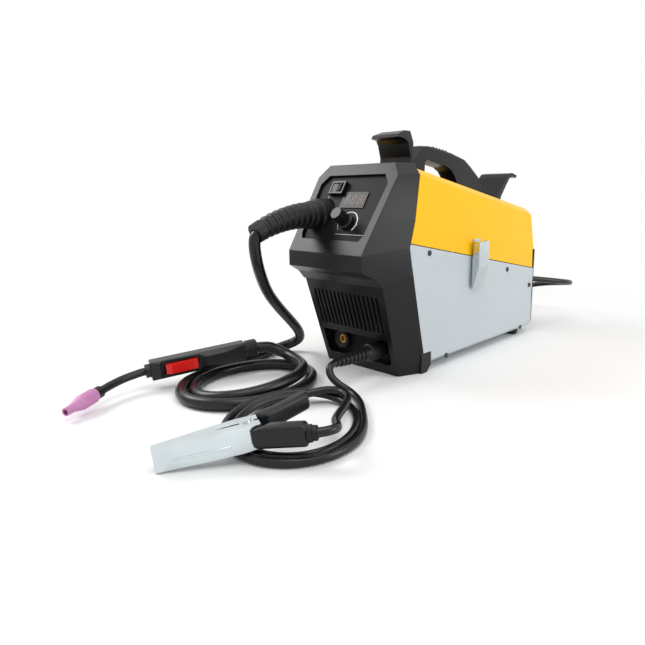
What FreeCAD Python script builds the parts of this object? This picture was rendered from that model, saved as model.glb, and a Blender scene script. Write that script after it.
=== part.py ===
import FreeCAD, Part
import math
import os
import re

import Sketcher

# Portable wire welder with its torch, ground clamp, cables and mains cord.
# Millimetres. X to the right of the front, Y to the rear, Z up.
# The origin is on the floor, under the middle of the front bumper's sole.

Vector = FreeCAD.Vector
Rotation = FreeCAD.Rotation
Placement = FreeCAD.Placement

SIZES = {
    # Case outline, seen from the side and from the front
    "HalfWidth": 90.0,
    "BodyRearY": 359.0,
    "Slope": 0.185,
    "TopZ": 299.7,
    "SeamZ": 190.3,
    "CreaseZ": 222.9,
    "TopHalf": "=HalfWidth - 18",
    "ShoulderHalf": "=HalfWidth - 10",
    "ShoulderDrop": 9.0,
    "Sheet": 1.5,
    "SeamGap": 0.6,
    "RearCorner": 22.0,
    # Moulded front housing
    "Wall": 4.0,
    "BrowY": -108.0,
    "BrowLowZ": 161.0,
    "BrowHighZ": 183.0,
    "FaceTopY": -28.0,
    "FaceTopZ": 306.0,
    "FaceLowHalf": "=HalfWidth - 18.5",
    "FaceHighHalf": "=HalfWidth - 12.7",
    "FaceCornerHalf": "=HalfWidth - 27",
    "FaceShoulder": 126.0,
    "BackLowY": -28.0,
    "BackLowZ": 190.0,
    "BackTopY": 11.0,
    "BackCreaseHalf": "=HalfWidth - 1.4",
    "BackShoulderHalf": "=HalfWidth - 10",
    "BackCornerHalf": "=HalfWidth - 24",
    "StepY": -19.4,
    "StepZ": 151.0,
    "UnderY": -72.0,
    "UnderZ": 137.0,
    "UnderMidY": -86.0,
    "UnderMidZ": 150.0,
    "LowerTopZ": 160.0,
    "LowerTopHalf": "=HalfWidth - 12.3",
    "LowerTopY": -78.5,
    "FootHalf": "=HalfWidth - 17.7",
    "FootY": -28.4,
    "LowerBackY": 16.0,
    "LowerBackTopY": -21.0,
    "BumperY": 28.0,
    "BumperZ": 30.0,
    "BumperCut": 10.0,
    # Control panel opening, measured along the face
    "OpenHalf": "=HalfWidth - 25",
    "OpenLowHalf": 60.0,
    "OpenTopHalf": "=HalfWidth - 36",
    "OpenFootHalf": "=HalfWidth - 34.5",
    "OpenTop": 128.0,
    "OpenShoulder": 113.0,
    "OpenLow": 31.0,
    "OpenFoot": 21.5,
    "PanelThick": 2.0,
    "PanelLap": 3.5,
    "SwitchX": -25.0,
    "SwitchUp": 106.0,
    "SwitchWide": 27.0,
    "SwitchTall": 21.0,
    "SwitchRise": 7.0,
    "SwitchWall": 3.0,
    "RockerFit": 1.0,
    "DisplayX": 12.5,
    "DisplayUp": 88.0,
    "DisplayWide": 46.0,
    "DisplayTall": 26.0,
    "DisplayThick": 1.4,
    "KnobX": 17.3,
    "KnobUp": 51.5,
    "KnobSkirt": 11.5,
    "KnobRadius": 9.6,
    "KnobRise": 27.0,
    "KnobShaft": 3.0,
    "RunFit": 0.06,
    "FaceGap": 0.4,
    # Vents and sockets in the lower face
    "VentCount": 16.0,
    "VentPitch": 8.2,
    "VentWide": 4.0,
    "VentLowZ": 63.0,
    "VentHighZ": 121.0,
    "RecessHalf": 65.0,
    "RecessLowZ": 15.5,
    "RecessHighZ": 56.0,
    "RecessY": -22.0,
    "SocketX": 42.0,
    "SocketZ": 37.5,
    "SocketRadius": 15.0,
    "SocketRise": 8.0,
    "InsertRadius": 7.0,
    "PinRadius": 4.5,
    "PlugRadius": 13.0,
    "PlugBoot": 64.0,
    "PlugBody": 30.0,
    # Torch outlet
    "OutletX": -41.0,
    "OutletZ": 234.0,
    "CollarRadius": 23.0,
    "CollarY": -84.0,
    "RingRadius": 20.5,
    "BootY": -96.0,
    "BootRadius": 19.0,
    "BootTipRadius": 13.5,
    "BootRibs": 8.0,
    "CableRadius": 8.0,
    # Handle and hooks
    "SpineHalf": 36.0,
    "SpineThick": 3.0,
    "GripHalf": 15.0,
    "HookHalf": 30.0,
    # Latch
    "LatchY": 148.0,
    "LatchWide": 30.0,
    "LatchRise": 15.0,
    "LatchSheet": 1.2,
    "LatchPin": 2.0,
    # Wire feed, inside the upper compartment
    "WireX": -41.0,
    "SpoolY": 232.0,
    "SpoolRadius": 48.0,
    "SpoolWide": 44.0,
    "HubRadius": 15.0,
    "FeedY": 92.0,
    "RollRadius": 15.0,
    "PressRadius": 11.0,
    "RollWide": 9.0,
    "ArmY": 126.0,
    "ArmRise": 22.0,
    # Lower compartment
    "FanZ": 62.0,
    "FanHalf": 40.0,
    "FanDeep": 25.0,
    "FloorZ": 12.0,
    "FootRadius": 11.0,
    "FootX": 70.0,
    "RearFootY": 322.0,
    # Torch, in its own frame from the rear of the grip
    "TorchX": -101.5,
    "TorchY": -163.5,
    "TorchZ": 38.6,
    "TorchYaw": -109.2,
    "TorchDip": 4.85,
    "GripLong": 142.0,
    "GripTall": 30.0,
    "GripThick": 26.0,
    "NeckRadius": 5.5,
    "NozzleRadius": 9.5,
    "NozzleBore": 6.5,
    # Ground clamp, in its own frame from the jaw pivot
    "ClampX": 116.0,
    "ClampY": -328.0,
    "ClampZ": 26.0,
    "ClampYaw": -117.0,
    "ClampDip": 7.5,
    "JawLong": 93.0,
    "ClampHalf": 13.0,
    "JawSheet": 2.0,
    "ClampPin": 3.0,
    "GroundRadius": 5.0,
    "CordRadius": 5.5,
}

doc = FreeCAD.newDocument("WireWelder")
sheet = doc.addObject("Spreadsheet::Sheet", "Sizes")
for row, (alias, value) in enumerate(SIZES.items(), start=1):
    sheet.set("A%d" % row, alias)
    sheet.set("B%d" % row, str(value))
    sheet.setAlias("B%d" % row, alias)
doc.recompute()

NODES = []


# Helpers


def cells(text):
    """The expression with each size's name led to the sheet."""
    return re.sub(r"\b[A-Z][A-Za-z]+", lambda found: "Sizes." + found.group(0), text)


def number(text):
    value = sheet.evalExpression(cells(str(text)))
    return float(getattr(value, "Value", value))


def bind(obj, prop, text):
    obj.setExpression(prop, cells(str(text)))


def node(obj, label):
    obj.Label = label
    NODES.append(obj)
    return obj


def made(label):
    return [obj for obj in NODES if obj.Label == label][0]


def move(obj, x="0", y="0", z="0", turn=None):
    if turn is not None:
        obj.Placement = Placement(Vector(), turn)
    for axis, text in zip("xyz", (x, y, z)):
        if str(text) != "0":
            bind(obj, "Placement.Base." + axis, text)
    return obj


def about(axis, angle):
    return Rotation(Vector(*axis), angle)


def box(name, x, y, z, long, wide, high):
    """A box from two corners' expressions: its low corner and its lengths."""
    obj = doc.addObject("Part::Box", name)
    for prop, text in zip(("Length", "Width", "Height"), (long, wide, high)):
        bind(obj, prop, text)
    return move(obj, x, y, z)


AXES = {"X": about((0, 1, 0), 90), "Y": about((1, 0, 0), -90), "Z": about((0, 0, 1), 0)}


def cylinder(name, x, y, z, radius, high, axis="Z"):
    obj = doc.addObject("Part::Cylinder", name)
    bind(obj, "Radius", radius)
    bind(obj, "Height", high)
    return move(obj, x, y, z, AXES[axis])


def cut(name, base, *tools):
    for step, tool in enumerate(tools):
        obj = doc.addObject("Part::Cut", "%s_%d" % (name, step))
        obj.Base = base
        obj.Tool = tool
        base = obj
    return base


def fuse(name, *shapes):
    obj = doc.addObject("Part::MultiFuse", name)
    obj.Shapes = list(shapes)
    obj.Refine = True
    return obj


def common(name, first, second):
    obj = doc.addObject("Part::Common", name)
    obj.Base = first
    obj.Tool = second
    return obj


def new_body(name):
    return doc.addObject("PartDesign::Body", name)


def outline(body, plane, points, offset="0", tilt=0.0, lift="0"):
    """A closed straight-sided sketch; each corner is a pair of expressions.

    The sketch lies on an origin plane of its body, offset along the plane's
    normal, lifted along its second axis and tilted about its first axis.
    """
    sketch = body.newObject("Sketcher::SketchObject", body.Name + "_outline")
    origin = [item for item in body.Origin.OriginFeatures if item.Role == plane][0]
    sketch.AttachmentSupport = (origin, "")
    sketch.MapMode = "FlatFace"
    if offset != "0" or tilt or lift != "0":
        place = Vector(0, number(lift), number(offset))
        sketch.AttachmentOffset = Placement(place, about((1, 0, 0), tilt))
    corners = [Vector(number(x), number(y), 0) for x, y in points]
    count = len(corners)
    for i in range(count):
        sketch.addGeometry(Part.LineSegment(corners[i], corners[(i + 1) % count]))
    for i in range(count):
        sketch.addConstraint(Sketcher.Constraint("Coincident", i, 2, (i + 1) % count, 1))
    for i, (x, y) in enumerate(points):
        for kind, text, start in (("DistanceX", x, corners[i].x), ("DistanceY", y, corners[i].y)):
            index = sketch.addConstraint(Sketcher.Constraint(kind, -1, 1, i, 1, start))
            bind(sketch, "Constraints[%d]" % index, text)
    return sketch


def pad(body, sketch, length, both=True, reverse=False):
    obj = body.newObject("PartDesign::Pad", body.Name + "_pad")
    obj.Profile = sketch
    bind(obj, "Length", length)
    obj.SideType = "Symmetric" if both else "One side"
    obj.Reversed = reverse
    return obj


def pocket(body, sketch, length, both=True, reverse=False):
    obj = body.newObject("PartDesign::Pocket", body.Name + "_pocket")
    obj.Profile = sketch
    bind(obj, "Length", length)
    obj.SideType = "Symmetric" if both else "One side"
    obj.Reversed = reverse
    return obj


def loft(body, sketches):
    obj = body.newObject("PartDesign::AdditiveLoft", body.Name + "_loft")
    obj.Profile = sketches[0]
    obj.Sections = sketches[1:]
    obj.Ruled = True
    return obj


def revolve(body, points, plane="XZ_Plane"):
    """A body of revolution about its Z axis from pairs of radius and height."""
    sketch = outline(body, plane, points)
    obj = body.newObject("PartDesign::Revolution", body.Name + "_turn")
    obj.Profile = sketch
    obj.ReferenceAxis = (sketch, ["V_Axis"])
    obj.Angle = 360
    return body


def round_edges(body, radius, spots):
    """Fillet the edges that pass the given points of the body's own frame."""
    doc.recompute()
    base = body.Tip
    shape = base.Shape
    names = []
    for spot in spots:
        point = Part.Vertex(Vector(*[number(text) for text in spot]))
        reach = [edge.distToShape(point)[0] for edge in shape.Edges]
        names.append("Edge%d" % (reach.index(min(reach)) + 1))
    obj = body.newObject("PartDesign::Fillet", body.Name + "_fillet")
    obj.Base = (base, names)
    bind(obj, "Radius", radius)
    return obj


def mirror_points(points):
    """The right half of an outline, low point first, closed by its left half."""
    return points + [("-(%s)" % x, y) for x, y in reversed(points)]


# Frames of reference: the slanted face, the sloping top, torch and clamp

FACE_RUN = number("FaceTopY - BrowY")
FACE_RISE = number("FaceTopZ - BrowHighZ")
FACE_LEAN = math.degrees(math.atan2(FACE_RUN, FACE_RISE))
FACE_LONG = math.hypot(FACE_RUN, FACE_RISE)
SLOPE_ANGLE = math.degrees(math.atan(number("Slope")))


def on_face(obj, across="0", up="0", out="0", turn=None):
    """Place an object on the slanted face, its Z axis out of the face."""
    frame = Placement(Vector(0, number("BrowY"), number("BrowHighZ")), about((1, 0, 0), 90 - FACE_LEAN))
    local = Placement(Vector(number(across), number(up), number(out)), turn or Rotation())
    obj.Placement = frame.multiply(local)
    return obj


def on_torch(obj, x="0", y="0", z="0", turn=None):
    """Place an object in the torch's frame: X to the nozzle, Y to the trigger side."""
    frame = Placement(
        Vector(number("TorchX"), number("TorchY"), number("TorchZ")),
        Rotation(number("TorchYaw"), number("TorchDip"), 0),
    )
    local = Placement(Vector(number(x), number(y), number(z)), turn or Rotation())
    obj.Placement = frame.multiply(local)
    return obj


def on_clamp(obj, x="0", y="0", z="0", turn=None):
    """Place an object in the clamp's frame: X to the jaw tips, Z along the pivot."""
    frame = Placement(
        Vector(number("ClampX"), number("ClampY"), number("ClampZ")),
        Rotation(number("ClampYaw"), number("ClampDip"), 0),
    )
    local = Placement(Vector(number(x), number(y), number(z)), turn or Rotation())
    obj.Placement = frame.multiply(local)
    return obj


# Front housing


def housing_form(name, skin, back):
    """The housing's outer form, or the hollow that lies a skin inside it.

    skin is how far each face moves inwards, back how far the open rear side
    moves outwards.
    """
    body = new_body(name)
    s, b = skin, back
    face_lean = -FACE_LEAN
    rear_run = number("BackTopY - BackLowY")
    rear_rise = number("FaceTopZ - BackLowZ")
    rear_lean = -math.degrees(math.atan2(rear_run, rear_rise))
    rear_scale = math.hypot(rear_run, rear_rise) / rear_rise
    face_scale = FACE_LONG / FACE_RISE
    crease_up = "(CreaseZ + 5 - BrowHighZ) * %.6f" % face_scale
    crease_half = "FaceLowHalf + (FaceHighHalf - FaceLowHalf) * (%s) / FaceShoulder" % crease_up
    face = outline(
        body,
        "XZ_Plane",
        mirror_points(
            [
                ("FaceLowHalf - %s" % s, "0"),
                ("%s - %s" % (crease_half, s), crease_up),
                ("FaceHighHalf - %s" % s, "FaceShoulder - 0.3 * %s" % s),
                ("FaceCornerHalf - 0.5 * %s" % s, "%.6f - %s" % (FACE_LONG, s)),
            ]
        ),
        offset="-(BrowY + 1.188 * %s)" % s,
        tilt=face_lean,
        lift="BrowHighZ",
    )
    rear = outline(
        body,
        "XZ_Plane",
        mirror_points(
            [
                ("HalfWidth - %s" % s, "0"),
                ("BackCreaseHalf - %s" % s, "(CreaseZ + 5 - BackLowZ) * %.6f" % rear_scale),
                ("BackShoulderHalf - %s" % s, "(FaceTopZ - 16 - BackLowZ) * %.6f - 0.3 * %s" % (rear_scale, s)),
                ("BackCornerHalf - 0.5 * %s" % s, "(FaceTopZ - BackLowZ) * %.6f - %s" % (rear_scale, s)),
            ]
        ),
        offset="-(BackLowY + %s)" % b,
        tilt=rear_lean,
        lift="BackLowZ",
    )
    loft(body, [face, rear])
    brow = outline(
        body,
        "YZ_Plane",
        [
            ("BrowY + %s" % s, "BrowLowZ + 0.5 * %s" % s),
            ("BrowY + %s" % s, "BrowHighZ + 0.01"),
            ("BackLowY + %s" % b, "BackLowZ + 0.01"),
            ("StepY + %s" % b, "StepZ + %s" % s),
            ("UnderY + 0.3 * %s" % s, "UnderZ + %s" % s),
            ("UnderMidY + 0.3 * %s" % s, "UnderMidZ + %s" % s),
        ],
    )
    pad(body, brow, "2 * (HalfWidth - %s)" % s)
    for side in ("", "-"):
        taper = outline(
            body,
            "XY_Plane",
            [
                ("%s(FaceLowHalf - %s)" % (side, s), "BrowY"),
                ("%s(HalfWidth - %s)" % (side, s), "BackLowY"),
                ("%s(HalfWidth + 20)" % side, "BackLowY"),
                ("%s(HalfWidth + 20)" % side, "BrowY - 5"),
                ("%s(FaceLowHalf - %s)" % (side, s), "BrowY - 5"),
            ],
        )
        pocket(body, taper, "4 * FaceTopZ")
    lower_lean = math.degrees(math.atan2(number("FootY - LowerTopY"), number("LowerTopZ")))
    back_lean = math.degrees(math.atan2(number("LowerBackY - LowerBackTopY"), number("LowerTopZ")))
    lower_front = outline(
        body,
        "XZ_Plane",
        [
            ("FootHalf - %s" % s, "%s + 1.5" % s),
            ("LowerTopHalf - %s" % s, "LowerTopZ / cos(%.6f)" % lower_lean),
            ("-(LowerTopHalf - %s)" % s, "LowerTopZ / cos(%.6f)" % lower_lean),
            ("-(FootHalf - %s)" % s, "%s + 1.5" % s),
        ],
        offset="-(FootY + %s)" % s,
        tilt=lower_lean,
    )
    lower_back = outline(
        body,
        "XZ_Plane",
        [
            ("HalfWidth - %s" % s, "%s + 1.5" % s),
            ("HalfWidth - %s" % s, "LowerTopZ / cos(%.6f)" % back_lean),
            ("-(HalfWidth - %s)" % s, "LowerTopZ / cos(%.6f)" % back_lean),
            ("-(HalfWidth - %s)" % s, "%s + 1.5" % s),
        ],
        offset="-(LowerBackY + %s)" % b,
        tilt=back_lean,
    )
    loft(body, [lower_front, lower_back])
    sole = outline(
        body,
        "XY_Plane",
        [
            ("FootHalf - %s" % s, "FootY + %s" % s),
            ("HalfWidth - %s" % s, "LowerBackY + %s" % b),
            ("-(HalfWidth - %s)" % s, "LowerBackY + %s" % b),
            ("-(FootHalf - %s)" % s, "FootY + %s" % s),
        ],
        offset="%s" % s,
    )
    pad(body, sole, "2", both=False)
    bumper = outline(
        body,
        "YZ_Plane",
        [
            ("LowerBackY - 12", "%s" % s),
            ("BumperY - BumperCut", "%s" % s),
            ("BumperY + %s" % b, "BumperCut + %s" % s),
            ("BumperY + %s" % b, "BumperZ - %s" % s),
            ("LowerBackY - 12", "BumperZ - %s" % s),
        ],
    )
    pad(body, bumper, "2 * (HalfWidth - %s)" % s)
    return body


def face_opening():
    """The eight-sided window of the control panel, through the face's wall."""
    body = new_body("face_opening")
    points = mirror_points(
        [
            ("OpenFootHalf", "OpenFoot"),
            ("OpenLowHalf", "OpenLow"),
            ("OpenHalf", "OpenShoulder"),
            ("OpenTopHalf", "OpenTop"),
        ]
    )
    pad(body, outline(body, "XY_Plane", points), "4 * Wall")
    return on_face(body)


def vents():
    """The row of upright slots through the leaning lower face."""
    lean = math.degrees(math.atan2(number("FootY - LowerTopY"), number("LowerTopZ")))
    slots = []
    for i in range(int(number("VentCount"))):
        slot = box("vent_%d" % i, "0", "0", "0", "VentWide", "6 * Wall", "VentHighZ - VentLowZ")
        shift = "VentPitch * (%d - (VentCount - 1) / 2) - VentWide / 2" % i
        slot.Placement.Rotation = about((1, 0, 0), lean)
        move(slot, shift, "FootY - (FootY - LowerTopY) * VentLowZ / LowerTopZ - 3 * Wall", "VentLowZ")
        slots.append(slot)
    return fuse("vents", *slots)


def socket_opening():
    """The recess mouth for the two sockets, with its slanted corners."""
    body = new_body("socket_opening")
    points = [
        ("-RecessHalf", "RecessLowZ + 6"),
        ("-RecessHalf + 5", "RecessLowZ"),
        ("RecessHalf - 5", "RecessLowZ"),
        ("RecessHalf", "RecessLowZ + 6"),
        ("RecessHalf", "RecessHighZ"),
        ("-RecessHalf", "RecessHighZ"),
    ]
    pad(body, outline(body, "XZ_Plane", points, offset="-(FootY - 6)"), "30", both=True)
    return body


def front_housing():
    outer = housing_form("housing_outer", "0", "0")
    inner = housing_form("housing_inner", "Wall", "(3 * Wall)")
    shell = cut("housing", outer, inner, face_opening(), vents(), socket_opening())
    node(shell, "front_housing")


# Control panel and what sits on it


def panel_plate():
    body = new_body("panel")
    points = mirror_points(
        [
            ("OpenFootHalf + PanelLap", "OpenFoot - PanelLap"),
            ("OpenLowHalf + PanelLap", "OpenLow"),
            ("OpenHalf + PanelLap", "OpenShoulder"),
            ("OpenTopHalf + PanelLap", "OpenTop + PanelLap"),
        ]
    )
    pad(body, outline(body, "XY_Plane", points), "PanelThick", both=False)
    switch = outline(body, "XY_Plane", rectangle("SwitchX", "SwitchUp", "SwitchWide - 4", "SwitchTall - 4"))
    pocket(body, switch, "20")
    display = outline(body, "XY_Plane", rectangle("DisplayX", "DisplayUp", "DisplayWide - 6", "DisplayTall - 6"))
    pocket(body, display, "20")
    on_face(body, out="-Wall - PanelThick")
    shaft = on_face(hole_tool("panel_shaft_hole", "KnobShaft + 0.3"), "KnobX", "KnobUp", "-Wall - 8")
    guide = cylinder("panel_guide_hole", "OutletX", "CollarY", "OutletZ", "6", "60", "Y")
    node(cut("panel_cut", body, shaft, guide), "control_panel")


def rectangle(x, y, wide, tall):
    """The four corners of a rectangle about its middle."""
    return [
        ("%s - (%s) / 2" % (x, wide), "%s - (%s) / 2" % (y, tall)),
        ("%s + (%s) / 2" % (x, wide), "%s - (%s) / 2" % (y, tall)),
        ("%s + (%s) / 2" % (x, wide), "%s + (%s) / 2" % (y, tall)),
        ("%s - (%s) / 2" % (x, wide), "%s + (%s) / 2" % (y, tall)),
    ]


def hole_tool(name, radius):
    obj = doc.addObject("Part::Cylinder", name)
    bind(obj, "Radius", radius)
    obj.Height = 20
    return obj


def display_window():
    body = new_body("display")
    points = rectangle("0", "0", "DisplayWide", "DisplayTall")
    pad(body, outline(body, "XY_Plane", points), "DisplayThick", both=False)
    node(on_face(body, "DisplayX", "DisplayUp", "-Wall"), "display_window")


def power_switch():
    """Switch body with its hood, and the rocker that tilts inside it."""
    body = new_body("switch")
    pad(body, outline(body, "XY_Plane", rectangle("0", "0", "SwitchWide", "SwitchTall")), "SwitchRise", both=False)
    neck = rectangle("0", "0", "SwitchWide - 4.4", "SwitchTall - 4.4")
    pad(body, outline(body, "XY_Plane", neck), "14", both=False, reverse=True)
    mouth = rectangle("0", "0", "SwitchWide - 2 * SwitchWall", "SwitchTall - 2 * SwitchWall")
    hollow = outline(body, "XY_Plane", mouth, offset="-6")
    pocket(body, hollow, "SwitchRise + 8", both=False, reverse=True)
    bore = cylinder("switch_bore", "0", "-SwitchTall / 2 + 1.3", "0", "1.5 + RunFit", "SwitchTall - 2.6", "Y")
    node(on_face(cut("switch_cut", body, bore), "SwitchX", "SwitchUp", "-Wall"), "switch_body")
    rocker = new_body("rocker")
    half = "SwitchWide / 2 - SwitchWall - RockerFit"
    points = [
        ("-(%s) + 1.5" % half, "-3"),
        ("%s - 1.5" % half, "-3"),
        (half, "SwitchRise + 0.5"),
        ("0", "SwitchRise - 1.4"),
        ("-(%s)" % half, "SwitchRise + 0.5"),
    ]
    pad(rocker, outline(rocker, "XZ_Plane", points), "SwitchTall - 2 * SwitchWall - 2 * RockerFit")
    stub = cylinder("rocker_stub", "0", "-SwitchTall / 2 + 2.1", "0", "1.5", "SwitchTall - 4.2", "Y")
    turn = about((0, 1, 0), -7)
    node(on_face(fuse("rocker_solid", rocker, stub), "SwitchX", "SwitchUp", "-Wall", turn), "power_rocker")


def control_knob():
    body = new_body("knob")
    points = [
        ("0", "FaceGap"),
        ("KnobSkirt", "FaceGap"),
        ("KnobSkirt", "5"),
        ("KnobRadius", "7.5"),
        ("KnobRadius - 0.9", "KnobRise"),
        ("0", "KnobRise"),
    ]
    revolve(body, points)
    grip = outline(body, "XY_Plane", rectangle("KnobRadius + 0.1", "0", "2.6", "3.4"), offset="8.5")
    notch = pocket(body, grip, "KnobRise", both=False, reverse=True)
    ring = body.newObject("PartDesign::PolarPattern", "knob_flutes")
    ring.Originals = [notch]
    ring.Axis = ([item for item in body.Origin.OriginFeatures if item.Role == "Z_Axis"][0], [""])
    ring.Angle = 360
    ring.Occurrences = 8
    body.Tip = ring
    shaft = cylinder("knob_shaft", "0", "0", "-Wall - 4", "KnobShaft", "Wall + 6")
    knob = fuse("knob_solid", body, shaft)
    node(on_face(knob, "KnobX", "KnobUp", "-Wall"), "control_knob")
    pot = new_body("pot")
    bush = [
        ("KnobShaft + RunFit", "0"),
        ("KnobShaft + 4", "0"),
        ("KnobShaft + 4", "-3"),
        ("11", "-3"),
        ("11", "-12"),
        ("0", "-12"),
        ("0", "-Wall - 5"),
        ("KnobShaft + RunFit", "-Wall - 5"),
    ]
    revolve(pot, bush)
    node(on_face(pot, "KnobX", "KnobUp", "-Wall - PanelThick"), "dial_base")


# Torch outlet, boot and cables


def torch_outlet():
    """The collar between the slanted panel and the boot."""
    body = new_body("collar")
    points = [
        ("6", "BootY"),
        ("RingRadius - 2", "BootY"),
        ("RingRadius", "BootY + 3"),
        ("RingRadius", "CollarY"),
        ("CollarRadius", "CollarY + 3"),
        ("CollarRadius", "CollarY + 60"),
        ("6", "CollarY + 60"),
    ]
    revolve(body, [(r, "-(%s)" % y) for r, y in points])
    move(body, "OutletX", "0", "OutletZ", about((1, 0, 0), 90))
    behind = box("collar_behind", "0", "0", "0", "200", "300", "120")
    on_face(behind, "-100", "-50", "-Wall - 120")
    node(cut("collar_cut", body, behind, made("front_housing")), "torch_collar")


def arc_between(start, heading, end):
    """The arc or line that leaves start along heading and passes end."""
    chord = end - start
    along = Vector(heading).normalize()
    side = chord - along * chord.dot(along)
    if side.Length < 1e-6 * chord.Length:
        return Part.makeLine(start, end), Vector(along)
    half_turn = math.atan2(side.Length, chord.dot(along))
    side.normalize()
    middle_way = along * math.cos(half_turn / 2) + side * math.sin(half_turn / 2)
    reach = chord.Length / 2 / math.cos(half_turn / 2)
    middle = start + middle_way * reach
    turned = along * math.cos(2 * half_turn) + side * math.sin(2 * half_turn)
    return Part.Arc(start, middle, end).toShape(), turned


def biarc(start, heading, end, end_heading):
    """Two tangent arcs that join two points along two headings."""
    one = Vector(heading).normalize()
    two = Vector(end_heading).normalize()
    chord = end - start
    both = one + two
    square = 2 * (1 - one.dot(two))
    along = chord.dot(both)
    if square < 1e-9:
        reach = chord.dot(chord) / (2 * along)
    else:
        root = math.sqrt(along * along + square * chord.dot(chord))
        reach = (root - along) / square
    joint = (start + one * reach + end - two * reach) * 0.5
    first, turned = arc_between(start, one, joint)
    second, turned = arc_between(joint, turned, end)
    return [first, second]


def rounded_route(points, name, radius):
    """Straight runs joined by tangent arcs; prints the radii of the arcs."""
    edges = []
    radii = []
    start = points[0]
    for before, corner, after in zip(points, points[1:], points[2:]):
        into, out = corner - before, after - corner
        half = into.getAngle(out) / 2
        bend = 0.45 * min(into.Length, out.Length) / math.tan(half)
        back = bend * math.tan(half)
        radii.append(bend)
        first = corner - Vector(into).normalize() * back
        last = corner + Vector(out).normalize() * back
        edges.append(Part.makeLine(start, first))
        arc, _ = arc_between(first, into, last)
        edges.append(arc)
        start = last
    edges.append(Part.makeLine(start, points[-1]))
    print(name, "arc radii", [round(value, 1) for value in radii], "least", round(min(radii) / radius, 1))
    return edges


def tube(edges, radius, name, bore=0.0):
    """A round solid swept along the edges of a smooth route."""
    spine = Part.Wire(edges)
    first = edges[0]
    start = first.valueAt(first.FirstParameter)
    heading = first.tangentAt(first.FirstParameter)
    ring = Part.Wire(Part.Circle(start, heading, radius).toShape())
    shell = Part.BRepOffsetAPI.MakePipeShell(spine)
    shell.add(ring)
    shell.build()
    shell.makeSolid()
    solid = shell.shape()
    length = sum(edge.Length for edge in edges)
    print(name, "length", round(length, 1), "volume ratio", round(solid.Volume / (math.pi * radius**2 * length), 4))
    return solid, length


def soft(shape, label):
    obj = doc.addObject("Part::Feature", label)
    obj.Shape = shape
    return node(obj, label)


def vectors(points):
    return [Vector(*point) for point in points]


# Routes of the cables' free stretches, chosen by hand
BOOT_TIP = (-43, -190, 212)
TORCH_DROP = [
    (-42.6, -172.6, 220.2),
    (-43, -190, 212),
    (-45, -191, 196),
    (-50, -184, 174),
    (-62, -169, 152),
    (-79, -145, 123),
    (-95, -111, 93),
    (-109, -77, 66),
    (-119, -51, 43),
    (-130, -38, 25),
    (-147, -43, 14),
    (-153, -70, 10),
    (-149, -105, 8.2),
    (-140, -150, 8.2),
    (-136, -176, 8.2),
    (-136, -198, 8.2),
]
TORCH_TAIL = [
    (-52, -117.9, 25.2),
    (-66, -117.9, 25.2),
    (-82, -125.5, 32),
    (-93.6, -140.9, 40.6),
    (-106.97, -179.2, 37.19),
]
GROUND_LEAD = [
    (42, -127.4, 37.5),
    (42, -139.5, 37.5),
    (49, -146, 27),
    (61, -143, 16.5),
    (77, -137, 9),
    (97, -143, 5.3),
    (119.8, -159.95, 5.2),
    (139.15, -175.66, 5.2),
]
CLAMP_LEAD = [
    (49.03, -209.62, 15.26),
    (53.2, -197.4, 14),
    (60.8, -183, 16.4),
    (71, -169.5, 18.3),
    (85, -161.5, 17.6),
    (102, -166.4, 16.8),
    (116, -183, 17.1),
    (129, -203, 18.5),
    (144, -226, 22),
    (160, -247, 26.5),
    (176, -261, 31),
    (188.5, -272, 34),
    (185.4, -289.7, 34.6),
    (174.7, -298, 33.04),
]
MAINS_LEAD = [
    (58, 364, 98),
    (58, 388, 98),
    (67, 406, 95.5),
    (83, 430, 92),
    (98, 456, 88),
    (106, 484, 83.5),
    (104, 508, 79.5),
    (92, 527, 75.5),
    (70, 541, 71.5),
    (42, 550, 67),
    (12, 556, 61),
    (-18, 560, 53),
    (-50, 562, 42),
    (-82, 560, 31),
    (-112, 552, 20.5),
    (-132, 536, 11),
    (-138, 516, 5.7),
    (-132, 499, 5.7),
    (-132, 480.1, 5.7),
]
MAINS_TAIL = [
    (-132, 480, 17.9),
    (-132, 464, 17.9),
    (-136, 446, 18.3),
    (-140, 428, 18.6),
    (-140, 412, 18.6),
]


def boot():
    """The ribbed boot: four circles to a rib, along a gently drooping line."""
    start = Vector(number("OutletX"), number("BootY"), number("OutletZ"))
    tip_point = Vector(*BOOT_TIP)
    line, _ = arc_between(start, Vector(0, -1, 0), tip_point)
    first, last = line.FirstParameter, line.LastParameter
    ribs = int(number("BootRibs"))
    outer = number("BootRadius")
    tip = number("BootTipRadius")
    rings = []
    steps = 4 * ribs + 6
    for i in range(steps + 1):
        share = i / steps
        at = line.valueAt(first + share * (last - first))
        way = line.tangentAt(first + share * (last - first))
        radius = outer + (tip - outer) * share
        in_rib = i % 4 in (0, 3) and 0 < i < 4 * ribs + 1
        rings.append(circle_on(at, way, radius - (1.6 if in_rib else 0.0)))
    solid = Part.makeLoft(rings, True, True)
    room = number("CableRadius + 0.35")
    bore, _ = tube(rounded_route(vectors(TORCH_DROP[:4]), "boot_bore", room), room, "boot_bore")
    soft(solid.cut(bore), "torch_boot")


def circle_on(point, way, radius):
    """A circle round a heading, its seam kept on a steady X axis."""
    side = Vector(1, 0, 0)
    normal = Vector(way).normalize()
    side = (side - normal * side.dot(normal)).normalize()
    up = normal.cross(side)
    turn = Rotation(side, up, normal, "ZXY")
    ring = Part.Circle(Vector(), Vector(0, 0, 1), radius).toShape()
    ring.Placement = Placement(point, turn)
    return Part.Wire(ring)


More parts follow.
